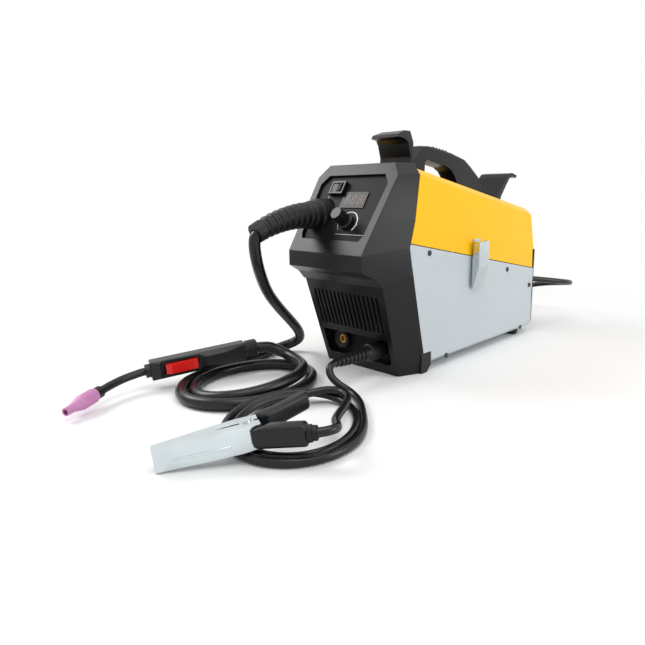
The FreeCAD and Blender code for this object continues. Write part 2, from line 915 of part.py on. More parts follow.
def coil_route(centre, half_across, half_along, tilt, start, turns, climb, lane, layer, direction, swell=None):
    """Points and headings of an oval coil, a quarter turn apart.

    The loops draw in by one lane a turn up to the climb, rise by a layer in
    half a turn, and draw out again above. A flat coil only draws in. A swell
    lifts the side round one angle, and its steps are finer.
    """
    across = Vector(math.cos(tilt), math.sin(tilt), 0)
    along = Vector(-math.sin(tilt), math.cos(tilt), 0)
    def spot(share):
        angle = math.radians(start) + direction * 2 * math.pi * share
        inner = min(share, climb + 0.25) - max(0.0, share - climb - 0.25)
        rise = min(max((share - climb) / 0.5, 0.0), 1.0) * layer
        one, two = half_across - lane * inner, half_along - lane * inner
        place = Vector(*centre) + across * (one * math.cos(angle)) + along * (two * math.sin(angle))
        if swell:
            near = max(0.0, math.cos(angle - math.radians(swell[0])))
            place = place + Vector(*swell[2]) * (swell[1] * near * near)
        return place + Vector(0, 0, rise)

    per_turn = 12 if swell else 4
    steps = int(round(turns * per_turn))
    points = []
    headings = []
    for i in range(steps + 1):
        share = i / per_turn
        points.append(spot(share))
        angle = math.radians(start) + direction * 2 * math.pi * share
        flat = (across * (-half_across * math.sin(angle)) + along * (half_along * math.cos(angle))) * direction
        headings.append(flat.normalize())
        if swell:
            headings[i] = (spot(share + 0.001) - spot(share - 0.001)).normalize()
    if swell:
        return points, headings
    for i in range(1, steps):
        run = (half_across + half_along) * math.pi / 2
        headings[i] = (headings[i] + Vector(0, 0, (points[i + 1].z - points[i - 1].z) / run)).normalize()
    return points, headings


def coil_edges(points, headings):
    edges = []
    for i in range(len(points) - 1):
        edges += biarc(points[i], headings[i], points[i + 1], headings[i + 1])
    return edges


def self_gap(edges, radius, name):
    """Least gap between turns, measured on points along the route."""
    spots = []
    travel = 0.0
    for edge in edges:
        count = max(3, int(edge.Length / 4))
        for k, spot in enumerate(edge.discretize(count + 1)[:-1]):
            spots.append((travel + edge.Length * k / count, spot))
        travel += edge.Length
    least = 1e9
    for i, (along, spot) in enumerate(spots):
        for far, other in spots[i + 1 :]:
            if far - along > 6 * radius * math.pi:
                least = min(least, spot.distanceToPoint(other))
    print(name, "least self gap", round(least - 2 * radius, 2))


def free_stretch(points, label, size):
    radius = number(size)
    solid, _ = tube(rounded_route(vectors(points), label, radius), radius, label)
    soft(solid, label)


def wound(label, size, *shape):
    radius = number(size)
    points, headings = coil_route(*shape)
    edges = coil_edges(points, headings)
    solid, _ = tube(edges, radius, label)
    self_gap(edges, radius, label)
    print(label, "from", points[0], headings[0], "to", points[-1], headings[-1])
    soft(solid, label)


GROUND_TILT = math.atan2(0.69, 0.72)


def cables():
    free_stretch(TORCH_DROP, "torch_cable_drop", "CableRadius")
    wound("torch_coil", "CableRadius", (-52, -198, 8.2), 84, 102, 0, 180, 1.75, 1.25, 17.5, 17, 1)
    free_stretch(TORCH_TAIL, "torch_tail", "CableRadius")
    free_stretch(GROUND_LEAD, "ground_lead", "GroundRadius")
    leaning = (120, 11.4, (2.2, -1.56, 1))
    wound("ground_coil", "GroundRadius", (92, -246, 5.2), 84, 104, GROUND_TILT, 10, 1.75, 9, 11.5, 0, -1, leaning)
    free_stretch(CLAMP_LEAD, "clamp_lead", "GroundRadius")
    free_stretch(MAINS_LEAD, "mains_lead", "CordRadius")
    wound("mains_coil", "CordRadius", (-64, 480, 5.7), 68, 68, 0, 180, 4, 1.75, 12.5, 12.2, 1)
    free_stretch(MAINS_TAIL, "mains_tail", "CordRadius")


# Sockets and the ground plug


def inner_face(z):
    """Place Y of the lower face's inner side at a height."""
    return "(FootY + Wall - (FootY - LowerTopY) * (%s) / LowerTopZ)" % z


def socket_plate():
    body = new_body("socket_tray")
    low, high = "RecessLowZ - 3", "RecessHighZ + 3"
    points = [
        ("%s + 0.1" % inner_face(low), low),
        ("%s + 0.1" % inner_face(high), high),
        ("RecessY + 3", high),
        ("RecessY + 3", low),
    ]
    pad(body, outline(body, "YZ_Plane", points), "2 * (RecessHalf + 3)")
    room = box(
        "socket_room", "-RecessHalf", "RecessY - 60", "RecessLowZ", "2 * RecessHalf", "60", "RecessHighZ - RecessLowZ"
    )
    holes = []
    for side in ("", "-"):
        hole = cylinder("socket_hole", "%sSocketX" % side, "RecessY - 5", "SocketZ", "SocketRadius - 3", "20", "Y")
        holes.append(hole)
    node(cut("socket_tray_cut", body, room, *holes), "socket_plate")


def along_y(body, x, y, z):
    """Turn a body of revolution so that its axis leaves the front along -Y."""
    return move(body, x, y, z, about((1, 0, 0), 90))


def sockets():
    shells = []
    inserts = []
    for side, name in (("-", "left"), ("", "right")):
        shell = new_body("socket_%s" % name)
        points = [
            ("InsertRadius", "-6"),
            ("SocketRadius - 3.4", "-6"),
            ("SocketRadius - 3.4", "0"),
            ("SocketRadius", "0"),
            ("SocketRadius", "SocketRise - 1"),
            ("SocketRadius - 1", "SocketRise"),
            ("InsertRadius + 3.5", "SocketRise"),
            ("InsertRadius", "SocketRise - 3"),
        ]
        revolve(shell, points)
        shells.append(along_y(shell, "%sSocketX" % side, "RecessY", "SocketZ"))
        insert = new_body("insert_%s" % name)
        points = [
            ("0", "-10"),
            ("InsertRadius", "-10"),
            ("InsertRadius", "SocketRise - 4"),
            ("PinRadius", "SocketRise - 4"),
            ("PinRadius", "-6"),
            ("0", "-6"),
        ]
        revolve(insert, points)
        inserts.append(along_y(insert, "%sSocketX" % side, "RecessY", "SocketZ"))
    node(fuse("socket_shells", *shells), "cable_sockets")
    node(fuse("socket_liners", *inserts), "socket_inserts")


def ground_plug():
    body = new_body("plug")
    front = "SocketRise + FaceGap"
    points = [
        ("0", "-5"),
        ("PinRadius - 0.3", "-5"),
        ("PinRadius - 0.3", front),
        ("PlugRadius", front),
        ("PlugRadius", "%s + PlugBody" % front),
        ("PlugRadius - 2", "%s + PlugBody + 2" % front),
        ("PlugRadius - 2.6", "%s + PlugBody + 8" % front),
    ]
    for i in range(7):
        share = "(%d / 7)" % i
        radius = "(PlugRadius - 2.6 - (PlugRadius - 9) * %s)" % share
        start = "%s + PlugBody + 10 + (PlugBoot - 12) * %s" % (front, share)
        points.append((radius, start))
        points.append((radius, "%s + 4.4" % start))
        points.append(("%s - 1.5" % radius, "%s + 4.4" % start))
        points.append(("%s - 1.5" % radius, "%s + 7" % start))
    points.append(("GroundRadius + 1", "105.4"))
    points.append(("0", "105.4"))
    revolve(body, points)
    node(along_y(body, "SocketX", "RecessY", "SocketZ"), "ground_plug")


# Sheet covers, lower case, top strip and rear panel


def side_prism(name, points, round_at=None, radius="0"):
    body = new_body(name)
    pad(body, outline(body, "YZ_Plane", points), "4 * HalfWidth")
    if round_at:
        round_edges(body, radius, [round_at])
    return body


def upper_form(name, skin, front):
    """The form of the upper covers, or the hollow a skin inside it."""
    s = skin
    low = "SeamZ + SeamGap" if front == "0" else "SeamZ - 6"
    prism = new_body(name + "_prism")
    section = mirror_points(
        [
            ("HalfWidth - %s" % s, low),
            ("HalfWidth - 0.8 - %s" % s, "CreaseZ"),
            ("ShoulderHalf - %s" % s, "TopZ - ShoulderDrop - 0.3 * %s" % s),
            ("TopHalf - 0.4 * %s" % s, "TopZ - %s" % s),
        ]
    )
    sketch = outline(prism, "XZ_Plane", section, offset="40", lift="40 * Slope")
    length = pad(prism, sketch, "BodyRearY + 60", both=False, reverse=True)
    length.UseCustomVector = True
    length.Direction = Vector(0, 1, -number("Slope"))
    length.AlongSketchNormal = True
    length.Reversed = False
    top = "TopZ - Slope * (%s) + 0.3 - " + s
    rear = "BodyRearY - %s" % s
    points = [
        ("BackLowY + SeamGap - %s" % front, "BackLowZ - 40"),
        ("BackLowY + SeamGap - %s" % front, "BackLowZ"),
        ("BackTopY + SeamGap - %s" % front, "FaceTopZ"),
        ("BackTopY + SeamGap - %s" % front, top % "BackTopY"),
        (rear, top % rear),
        (rear, "100"),
    ]
    if front != "0":
        points[2] = ("BackTopY + SeamGap - 3 - %s" % front, top % ("BackTopY + SeamGap - 3 - %s" % front))
        del points[3]
    else:
        del points[3]
        points[2] = ("BackTopY + SeamGap - 1.6", top % "BackTopY")
    corner = ("0", rear, top % rear)
    trim = side_prism(name + "_side", points, corner, "RearCorner - %s" % s)
    return common(name, prism, trim)


def upper_shell(name, *boxes):
    outer = upper_form(name + "_outer", "0", "0")
    inner = upper_form(name + "_inner", "Sheet", "9")
    mouth = box(name + "_mouth", "-HalfWidth - 5", "BodyRearY - 5", "0", "2 * HalfWidth + 10", "20", rear_top())
    return cut(name, outer, inner, mouth, *boxes)


def rear_top():
    return "CreaseZ - Slope * BodyRearY + 3"


def covers():
    keep = box("door_side", "SpineHalf + SeamGap", "-100", "0", "200", "600", "400")
    door = common("door_shape", upper_shell("door_shell"), keep)
    node(door, "door_cover")
    keep = box("left_side", "-200 - SpineHalf - SeamGap", "-100", "0", "200", "600", "400")
    node(common("left_shape", upper_shell("left_shell"), keep), "cover_left")
    keep = box("spine_side", "-SpineHalf", "-100", "0", "2 * SpineHalf", "600", "400")
    strip = common("spine_strip", upper_shell("spine_shell"), keep)
    rib = box("spine_rib", "0", "0", "0", "2 * SpineHalf - 8", "300", "SpineThick + 0.5")
    on_slope(rib, "-SpineHalf + 4", "28", "-0.5")
    node(fuse("spine_solid", strip, rib), "top_spine")


def on_slope(obj, x="0", along="0", up="0", turn=None):
    """Place an object on the falling top, its Y axis down the slope."""
    frame = Placement(Vector(0, 0, number("TopZ")), about((1, 0, 0), -SLOPE_ANGLE))
    local = Placement(Vector(number(x), number(along), number(up)), turn or Rotation())
    obj.Placement = frame.multiply(local)
    return obj


def tray_form(name, skin):
    s = skin
    body = new_body(name)
    sketches = []
    for y in ("-40", "BodyRearY"):
        top = "SeamZ - SeamGap - Slope * (%s)" % y if s == "0" else "SeamZ + 10 - Slope * (%s)" % y
        bend = "SeamZ - 43 - Slope * (%s)" % y
        points = mirror_points(
            [
                ("HalfWidth - 6", "FloorZ + %s" % s),
                ("HalfWidth - %s" % s, "FloorZ + 6"),
                ("HalfWidth - 1 - %s" % s, bend),
                ("HalfWidth - %s" % s, top),
            ]
        )
        sketches.append(outline(body, "XZ_Plane", points, offset="-(%s)" % (y if s == "0" or y == "-40" else y + " + 5")))
    loft(body, sketches)
    return body


def lower_case():
    foot = "LowerBackY - (LowerBackY - LowerBackTopY) * BumperZ / LowerTopZ + SeamGap"
    points = [
        ("BumperY + SeamGap", "-5"),
        ("BumperY + SeamGap", "BumperZ + SeamGap"),
        (foot, "BumperZ + SeamGap"),
        ("StepY + SeamGap", "StepZ"),
        ("BackLowY + SeamGap", "BackLowZ"),
        ("BackLowY + SeamGap + 20", "BackLowZ + 59"),
        ("BodyRearY", "BackLowZ + 59"),
        ("BodyRearY", "-5"),
    ]
    trim = side_prism("tray_side", points)
    outer = common("tray_trimmed", tray_form("tray_outer", "0"), trim)
    shell = cut("tray", outer, tray_form("tray_inner", "Sheet"))
    node(fuse("case_solid", shell, latch_catch()), "lower_case")


def rear_panel():
    body = new_body("rear_plate")
    points = mirror_points(
        [
            ("HalfWidth - 8", "FloorZ"),
            ("HalfWidth - 0.5", "FloorZ + 8"),
            ("HalfWidth - 0.5", rear_top()),
        ]
    )
    pad(body, outline(body, "XZ_Plane", points, offset="-(BodyRearY + 0.3)"), "3", both=False, reverse=True)
    fan = cylinder("fan_opening", "0", "BodyRearY - 5", "FanZ", "FanHalf - 2", "20", "Y")
    cord = cylinder("cord_opening", "58", "BodyRearY - 5", "98", "CordRadius + 1.5", "20", "Y")
    plate_cut = cut("rear_plate_cut", body, fan, cord)
    rings = []
    for radius in ("FanHalf - 1", "FanHalf * 0.72", "FanHalf * 0.47", "FanHalf * 0.22"):
        ring = cylinder("guard_ring", "0", "BodyRearY + 3", "FanZ", "%s + 1" % radius, "1.8", "Y")
        middle = cylinder("guard_middle", "0", "BodyRearY", "FanZ", "%s - 1" % radius, "9", "Y")
        rings.append(cut("guard_ring_cut", ring, middle))
    for angle in (45, 135):
        bar = box("guard_bar", "0", "0", "0", "2 * FanHalf", "1.6", "1.6")
        bar.Placement = Placement(
            Vector(0, number("BodyRearY + 2.9"), number("FanZ")), about((0, 1, 0), angle)
        ).multiply(Placement(Vector(-number("FanHalf"), 0, -0.8), Rotation()))
        rings.append(bar)
    node(fuse("rear_solid", plate_cut, *rings), "rear_panel")
    gland = new_body("gland")
    points = [
        ("CordRadius + 0.3", "0"),
        ("CordRadius + 6", "0"),
        ("CordRadius + 6", "4"),
        ("CordRadius + 3", "6"),
        ("CordRadius + 1.8", "17"),
        ("CordRadius + 0.3", "17"),
    ]
    revolve(gland, points)
    node(move(gland, "58", "BodyRearY + 3.3", "98", about((1, 0, 0), -90)), "cord_gland")


def rear_feet():
    feet = []
    for side, name in (("-", "left"), ("", "right")):
        body = new_body("foot_%s" % name)
        points = [
            ("0", "0"),
            ("FootRadius - 2", "0"),
            ("FootRadius", "2"),
            ("FootRadius + 1", "FloorZ"),
            ("0", "FloorZ"),
        ]
        revolve(body, points)
        feet.append(move(body, "%sFootX" % side, "RearFootY"))
    node(fuse("foot_pair", *feet), "rear_feet")


# Handle, hooks, hinges and latch


def top_at(y, above="0"):
    return "TopZ - Slope * %s + %s" % (y, above)


RIB_RISE = "SpineThick * sqrt(1 + Slope * Slope)"


def handle_and_hooks():
    handle = new_body("handle")
    points = [
        ("76", top_at("76", RIB_RISE)),
        ("76", "318"),
        ("98", "338"),
        ("121", "339"),
        ("185", "331.4"),
        ("228", "322"),
        ("248", "311"),
        ("270", "297"),
        ("290", "272"),
        ("292", top_at("292", RIB_RISE)),
        ("216", top_at("216", RIB_RISE)),
        ("206", "276"),
        ("197", "291"),
        ("187", "301"),
        ("173", "307.5"),
        ("143", "312"),
        ("114", "318"),
        ("108", "312"),
        ("106", top_at("106", RIB_RISE)),
    ]
    pad(handle, outline(handle, "YZ_Plane", points), "2 * GripHalf")
    spots = []
    for side in ("", "-"):
        for y, z in (("109", "338.5"), ("150", "335.5"), ("206", "326.7"), ("238", "316.5"), ("259", "304"), ("87", "328")):
            spots.append(("%sGripHalf" % side, y, z))
    round_edges(handle, "4", spots)
    for i in range(5):
        ridge = [("134 + 9 * %d" % i, "332"), ("138.5 + 9 * %d" % i, "332"), ("136.2 + 9 * %d" % i, "339 - 1.07 * %d" % i)]
        pad(handle, outline(handle, "YZ_Plane", ridge), "2 * GripHalf - 6")
    node(handle, "carry_handle")
    front = new_body("front_hook")
    points = [
        ("48", top_at("48", RIB_RISE)),
        ("50", "318"),
        ("44", "338"),
        ("38", "344"),
        ("25", "346"),
        ("26", "351"),
        ("44", "357"),
        ("58", "357"),
        ("68", "349"),
        ("75", "318"),
        ("75", top_at("75", RIB_RISE)),
    ]
    pad(front, outline(front, "YZ_Plane", points), "2 * HookHalf")
    for side in ("", "-"):
        corner = [("%sHookHalf" % side, "340"), ("%sHookHalf" % side, "360"), ("%s(HookHalf - 9)" % side, "360")]
        pocket(front, outline(front, "XZ_Plane", corner), "300")
        relief = [
            ("%sGripHalf" % side, "60"),
            ("%sGripHalf" % side, "80"),
            ("%s(HookHalf + 1)" % side, "80"),
            ("%s(HookHalf + 1)" % side, "56"),
        ]
        pocket(front, outline(front, "XY_Plane", relief), "900")
    node(front, "front_hook")
    rear = new_body("rear_hook")
    points = [
        ("296", top_at("296", RIB_RISE)),
        ("316", "256"),
        ("338", "278"),
        ("352", "293"),
        ("361", "300"),
        ("374", "302"),
        ("392", "298"),
        ("391", "293"),
        ("374", "296"),
        ("364", "292"),
        ("352", "279"),
        ("334", "258"),
        ("328", top_at("328", RIB_RISE)),
    ]
    pad(rear, outline(rear, "YZ_Plane", points), "2 * HookHalf")
    node(rear, "rear_hook")


def hinges():
    """Two hinges along the falling top; the outer knuckles are the strip's."""
    axis = ("SpineHalf + SeamGap", "3.6")
    parts = []
    leaves = []
    for along in ("52", "276"):
        for start in ("-20.4", "10.4"):
            knuckle = doc.addObject("Part::Cylinder", "spine_knuckle")
            knuckle.Radius = 3.2
            knuckle.Height = 10
            on_slope(knuckle, axis[0], "%s + %s" % (along, start), axis[1], AXES["Y"])
            parts.append(knuckle)
            leaf = doc.addObject("Part::Box", "spine_leaf")
            leaf.Length, leaf.Width, leaf.Height = 16, 10, 1.4
            parts.append(on_slope(leaf, "%s - 16" % axis[0], "%s + %s" % (along, start), "%s - 0.2" % axis[1]))
        pin = doc.addObject("Part::Cylinder", "hinge_pin")
        pin.Radius = 1.6
        pin.Height = 24
        parts.append(on_slope(pin, axis[0], "%s - 12" % along, axis[1], AXES["Y"]))
        barrel = doc.addObject("Part::Cylinder", "door_knuckle")
        barrel.Radius = 3.2
        barrel.Height = 20
        on_slope(barrel, axis[0], "%s - 10" % along, axis[1], AXES["Y"])
        leaf = doc.addObject("Part::Box", "door_leaf")
        leaf.Length, leaf.Width, leaf.Height = 15, 20, 3.2
        on_slope(leaf, axis[0], "%s - 10" % along, "0.05")
        bore = doc.addObject("Part::Cylinder", "door_bore")
        bind(bore, "Radius", "1.6 + RunFit")
        bore.Height = 30
        on_slope(bore, axis[0], "%s - 15" % along, axis[1], AXES["Y"])
        leaves.append(cut("door_hinge", fuse("door_leaves", barrel, leaf), bore))
    node(fuse("spine_hinge_pair", *parts), "spine_hinges")
    node(fuse("door_hinge_pair", *leaves), "door_hinges")


def latch_z():
    return "SeamZ - Slope * LatchY"


def latch():
    """The flap that rides on the door and covers the catch of the case."""
    pivot_x = "HalfWidth + 8"
    pivot_z = "%s + 20" % latch_z()
    lug = box("latch_lug", "HalfWidth + 0.3", "LatchY - 10", "%s - 5" % pivot_z, "7.7", "20", "10")
    barrel = cylinder("latch_barrel", pivot_x, "LatchY - 10", pivot_z, "5", "20", "Y")
    bore = cylinder("latch_bore", pivot_x, "LatchY - 15", pivot_z, "LatchPin + RunFit", "30", "Y")
    base = box("latch_foot", "HalfWidth - 0.8", "LatchY - 10", "%s - 9" % pivot_z, "1.8", "20", "18")
    bracket = fuse("latch_bracket_solid", lug, barrel, base)
    node(cut("latch_bracket_cut", bracket, bore, made("door_cover")), "latch_bracket")
    body = new_body("flap")
    rise = "HalfWidth + LatchRise"
    points = [
        ("HalfWidth + 5", "%s + 5.5" % pivot_z),
        (rise, "%s + 5.5" % pivot_z),
        (rise, "%s - 14" % latch_z()),
        ("HalfWidth + 5", "%s - 50" % latch_z()),
        ("HalfWidth + 2.5", "%s - 50" % latch_z()),
        ("HalfWidth + 2.5", "%s - 2" % latch_z()),
    ]
    pad(body, outline(body, "XZ_Plane", points, offset="-LatchY"), "LatchWide")
    inner = [
        ("HalfWidth - 5", "%s + 12" % pivot_z),
        ("%s - LatchSheet" % rise, "%s + 12" % pivot_z),
        ("%s - LatchSheet" % rise, "%s - 13.6" % latch_z()),
        ("HalfWidth + 4", "%s - 47" % latch_z()),
        ("HalfWidth - 5", "%s - 47" % latch_z()),
    ]
    pocket(body, outline(body, "XZ_Plane", inner, offset="-LatchY"), "LatchWide - 2 * LatchSheet")
    pin = cylinder("latch_pin", pivot_x, "LatchY - LatchWide / 2 - 1", pivot_z, "LatchPin", "LatchWide + 2", "Y")
    node(fuse("flap_solid", body, pin), "latch_flap")


def latch_catch():
    hook = new_body("catch")
    points = [
        ("HalfWidth - 0.4", "%s - 32" % latch_z()),
        ("HalfWidth + 3", "%s - 32" % latch_z()),
        ("HalfWidth + 5", "%s - 20" % latch_z()),
        ("HalfWidth + 3", "%s - 14" % latch_z()),
        ("HalfWidth - 0.2", "%s - 14" % latch_z()),
    ]
    pad(hook, outline(hook, "XZ_Plane", points, offset="-LatchY"), "14")
    return hook


# Wire compartment


def deck_z(y):
    return "(SeamZ - 6 - Slope * %s)" % y


def compartment():
    body = new_body("deck_sheet")
    points = rectangle("0", "SeamZ - 7", "2 * HalfWidth - 2 * Sheet - 1", "2")
    sketch = outline(body, "XZ_Plane", points, offset="-20", lift="-20 * Slope")
    sheet_pad = pad(body, sketch, "BodyRearY - 22", both=False)
    sheet_pad.UseCustomVector = True
    sheet_pad.Direction = Vector(0, 1, -number("Slope"))
    sheet_pad.AlongSketchNormal = True
    node(body, "deck")
    wall_x = "WireX - RollWide / 2 - 7"
    foot = box("bracket_foot", "-82", "SpoolY - 20", "%s - 5" % deck_z("SpoolY"), "18", "40", "9")
    post = box("bracket_post", "-80", "SpoolY - 14", "%s - 4" % deck_z("SpoolY"), "4", "28", "74")
    axle = cylinder("spool_axle", "-78", "SpoolY", spool_z(), "HubRadius", "62", "X")
    nut = cylinder("spool_nut_disc", "-16.5", "SpoolY", spool_z(), "HubRadius + 5", "5.5", "X")
    grip = box("spool_nut_grip", "-12", "SpoolY - 15", "%s - 3" % spool_z(), "7", "30", "6")
    under = new_body("deck_under")
    points = [("20", "0"), ("330", "0"), ("330", deck_z("330")), ("20", deck_z("20"))]
    pad(under, outline(under, "YZ_Plane", points), "400")
    spindle = fuse("spindle_solid", foot, post, axle, nut, grip)
    node(cut("spindle_cut", spindle, under), "spool_spindle")
    spool = new_body("spool")
    points = [
        ("HubRadius + RunFit", "0"),
        ("SpoolRadius", "0"),
        ("SpoolRadius", "2.5"),
        ("HubRadius + 6", "2.5"),
        ("HubRadius + 6", "SpoolWide - 2.5"),
        ("SpoolRadius", "SpoolWide - 2.5"),
        ("SpoolRadius", "SpoolWide"),
        ("HubRadius + RunFit", "SpoolWide"),
    ]
    revolve(spool, points)
    node(move(spool, "-62", "SpoolY", spool_z(), AXES["X"]), "wire_spool")
    winding = new_body("winding")
    points = [
        ("HubRadius + 6.4", "2.9"),
        ("SpoolRadius - 7", "2.9"),
        ("SpoolRadius - 7", "SpoolWide - 2.9"),
        ("HubRadius + 6.4", "SpoolWide - 2.9"),
    ]
    revolve(winding, points)
    node(move(winding, "-62", "SpoolY", spool_z(), AXES["X"]), "wire_winding")
    feeder(wall_x, under)


def spool_z():
    return "(SeamZ - Slope * SpoolY + SpoolRadius + 6)"


def feeder(wall_x, under):
    drive_z = "(OutletZ - RollRadius - 0.4)"
    press_z = "(OutletZ + PressRadius + 0.4)"
    arm_z = "(OutletZ + ArmRise)"
    face = "WireX + RollWide / 2 + 1"
    plate = box("feed_wall", wall_x, "44", "%s - 1" % deck_z("44"), "4", "100", "OutletZ + 34 - %s" % deck_z("44"))
    shaft_hole = cylinder("shaft_hole", "%s - 5" % wall_x, "FeedY", drive_z, "4.6", "20", "X")
    lowered = box("feed_skirt", wall_x, "44", "%s - 22" % deck_z("44"), "4", "100", "24")
    flange = box("feed_flange", "-78", "50", "%s - 12" % deck_z("50"), "30", "84", "16")
    solid = cut("feed_wall_cut", fuse("feed_wall_solid", plate, lowered, flange), under, shaft_hole)
    arm_pin = cylinder("arm_pin", "%s + 2" % wall_x, "ArmY", arm_z, "3", "19", "X")
    inlet = cylinder("inlet_tube", "WireX", "116", "OutletZ", "3.2", "30", "Y")
    inlet_block = box("inlet_block", "%s + 3" % wall_x, "120", "OutletZ - 5", "14", "16", "10")
    post = box("screw_post", "%s + 3" % wall_x, "48", "OutletZ + 2", "14.4", "12", "6")
    guide = cylinder("guide_tube", "WireX", "BootY + 20", "OutletZ", "4", "76 - BootY - 20", "Y")
    guide_block = box("guide_block", "%s + 3" % wall_x, "60", "OutletZ - 6", "12.2", "15", "7.6")
    node(fuse("feed_plate_solid", solid, arm_pin, inlet, inlet_block, post, guide, guide_block), "feed_plate")
    gear = box("gear_case", "-78", "FeedY - 22", "%s - 22" % drive_z, "78 + %s - 0.3" % wall_x, "44", "44")
    motor = cylinder("motor_can", "-66", "FeedY + 21", drive_z, "12", "40", "Y")
    bearing = cylinder("gear_bore", "-66", "FeedY", drive_z, "4 + RunFit", "40", "X")
    node(cut("feeder_motor_cut", fuse("feeder_motor_solid", gear, motor), bearing), "feeder_motor")
    roll = new_body("drive")
    points = [
        ("0", "-16"),
        ("4", "-16"),
        ("4", "0"),
        ("RollRadius", "0"),
        ("RollRadius", "RollWide / 2 - 0.8"),
        ("RollRadius - 0.6", "RollWide / 2"),
        ("RollRadius", "RollWide / 2 + 0.8"),
        ("RollRadius", "RollWide"),
        ("7", "RollWide"),
        ("6", "RollWide + 4"),
        ("0", "RollWide + 4"),
    ]
    revolve(roll, points)
    node(move(roll, "WireX - RollWide / 2", "FeedY", drive_z, AXES["X"]), "drive_roll")
    press = new_body("press")
    points = [
        ("3 + RunFit", "0"),
        ("PressRadius", "0"),
        ("PressRadius", "RollWide"),
        ("3 + RunFit", "RollWide"),
    ]
    revolve(press, points)
    node(move(press, "WireX - RollWide / 2", "FeedY", press_z, AXES["X"]), "pressure_roll")
    bar = new_body("arm")
    points = [
        ("ArmY + 8", "%s - 6" % arm_z),
        ("ArmY + 8", "%s + 7" % arm_z),
        ("ArmY - 8", "%s + 8" % arm_z),
        ("64", "%s + 1.5" % arm_z),
        ("48", "%s + 1.5" % arm_z),
        ("48", "%s - 5" % arm_z),
        ("FeedY - 10", "%s - 5" % arm_z),
        ("FeedY - 8", "%s - 7" % press_z),
        ("FeedY + 8", "%s - 7" % press_z),
        ("FeedY + 10", "%s - 6" % arm_z),
    ]
    pad(bar, outline(bar, "YZ_Plane", points, offset=face), "4", both=False)
    axle = cylinder("press_axle", "WireX - RollWide / 2 - 1.5", "FeedY", press_z, "3", "RollWide + 4", "X")
    seat = box("screw_seat", "%s - 12" % face, "48", "%s - 4" % arm_z, "13", "12", "6")
    arm_bore = cylinder("arm_bore", "%s - 10" % face, "ArmY", arm_z, "3 + RunFit", "30", "X")
    screw_bore = cylinder("screw_bore", "WireX", "54", "%s - 20" % arm_z, "2.5 + RunFit", "40")
    arm = cut("arm_cut", fuse("arm_solid", bar, axle, seat), arm_bore, screw_bore)
    node(arm, "pressure_arm")
    knob = new_body("tension")
    points = [
        ("0", "-13"),
        ("2.5", "-13"),
        ("2.5", "0.4"),
        ("5.6", "0.4"),
        ("6.4", "2"),
        ("6", "10"),
        ("0", "10"),
    ]
    revolve(knob, [(r, "%s + 2" % z) for r, z in points])
    node(move(knob, "WireX", "54", arm_z), "tension_knob")


# Lower compartment


def lower_parts():
    board = box("board_sheet", "44", "60", "FloorZ + 10", "1.6", "200", "96")
    edge = box("board_rail", "43", "58", "FloorZ + Sheet", "4", "204", "9.2")
    chips = []
    for i, (y, z, wide, high, deep) in enumerate(
        (("70", "60", "30", "24", "14"), ("120", "40", "18", "40", "18"), ("160", "56", "40", "30", "10"), ("214", "36", "34", "44", "16"))
    ):
        chips.append(box("chip_%d" % i, "45", y, z, deep, wide, high))
    node(fuse("board_solid", board, edge, *chips), "circuit_board")
    fins = [box("sink_base", "0", "70", "FloorZ + Sheet", "34", "150", "6")]
    for i in range(6):
        fins.append(box("fin_%d" % i, "6.2 * %d" % i, "70", "FloorZ + Sheet + 5", "3", "150", "52"))
    node(fuse("sink_solid", *fins), "heat_sink")
    core = box("core", "-74", "190", "FloorZ + Sheet", "56", "70", "66")
    coil = box("core_winding", "-67", "182", "FloorZ + Sheet + 14", "42", "86", "38")
    node(fuse("transformer_solid", core, coil), "transformer")
    frame = box("fan_block", "-FanHalf", "BodyRearY - FanDeep - 4", "FanZ - FanHalf", "2 * FanHalf", "FanDeep", "2 * FanHalf")
    bore = cylinder("fan_bore", "0", "BodyRearY - FanDeep - 10", "FanZ", "FanHalf - 2.5", "FanDeep + 20", "Y")
    ring = cut("fan_ring", frame, bore)
    hub_y = "BodyRearY - FanDeep - 4"
    hub = cylinder("fan_hub", "0", hub_y, "FanZ", "12", "5", "Y")
    arms = []
    for i in range(4):
        spoke = box("fan_spoke", "0", "0", "0", "30", "4", "4")
        turned = Placement(Vector(0, number(hub_y), number("FanZ")), about((0, 1, 0), 45 + 90 * i))
        spoke.Placement = turned.multiply(Placement(Vector(10, 0, -2), Rotation()))
        arms.append(spoke)
    stub = cylinder("fan_shaft", "0", hub_y, "FanZ", "2", "18", "Y")
    foot = box("fan_foot", "-FanHalf", hub_y, "FloorZ + Sheet", "2 * FanHalf", "FanDeep", "FanZ - FanHalf - FloorZ - Sheet + 1")
    node(fuse("fan_frame_solid", ring, hub, stub, foot, *arms), "fan_frame")
    rotor = cylinder("rotor_hub", "0", "%s + 6" % hub_y, "FanZ", "13", "17", "Y")
    blades = []
    for i in range(7):
        blade = box("fan_blade", "0", "0", "0", "23", "1.6", "15")
        frame_place = Placement(Vector(0, number(hub_y + " + 14.5"), number("FanZ")), about((0, 1, 0), 360 * i / 7))
        lean = Placement(Vector(11.5, 0, 0), about((1, 0, 0), 55))
        blade.Placement = frame_place.multiply(lean).multiply(Placement(Vector(0, -0.8, -7.5), Rotation()))
        blades.append(blade)
    hole = cylinder("rotor_bore", "0", "%s + 5" % hub_y, "FanZ", "2 + RunFit", "14", "Y")
    node(cut("rotor_cut", fuse("rotor_solid", rotor, *blades), hole), "fan_rotor")


# Mains plug


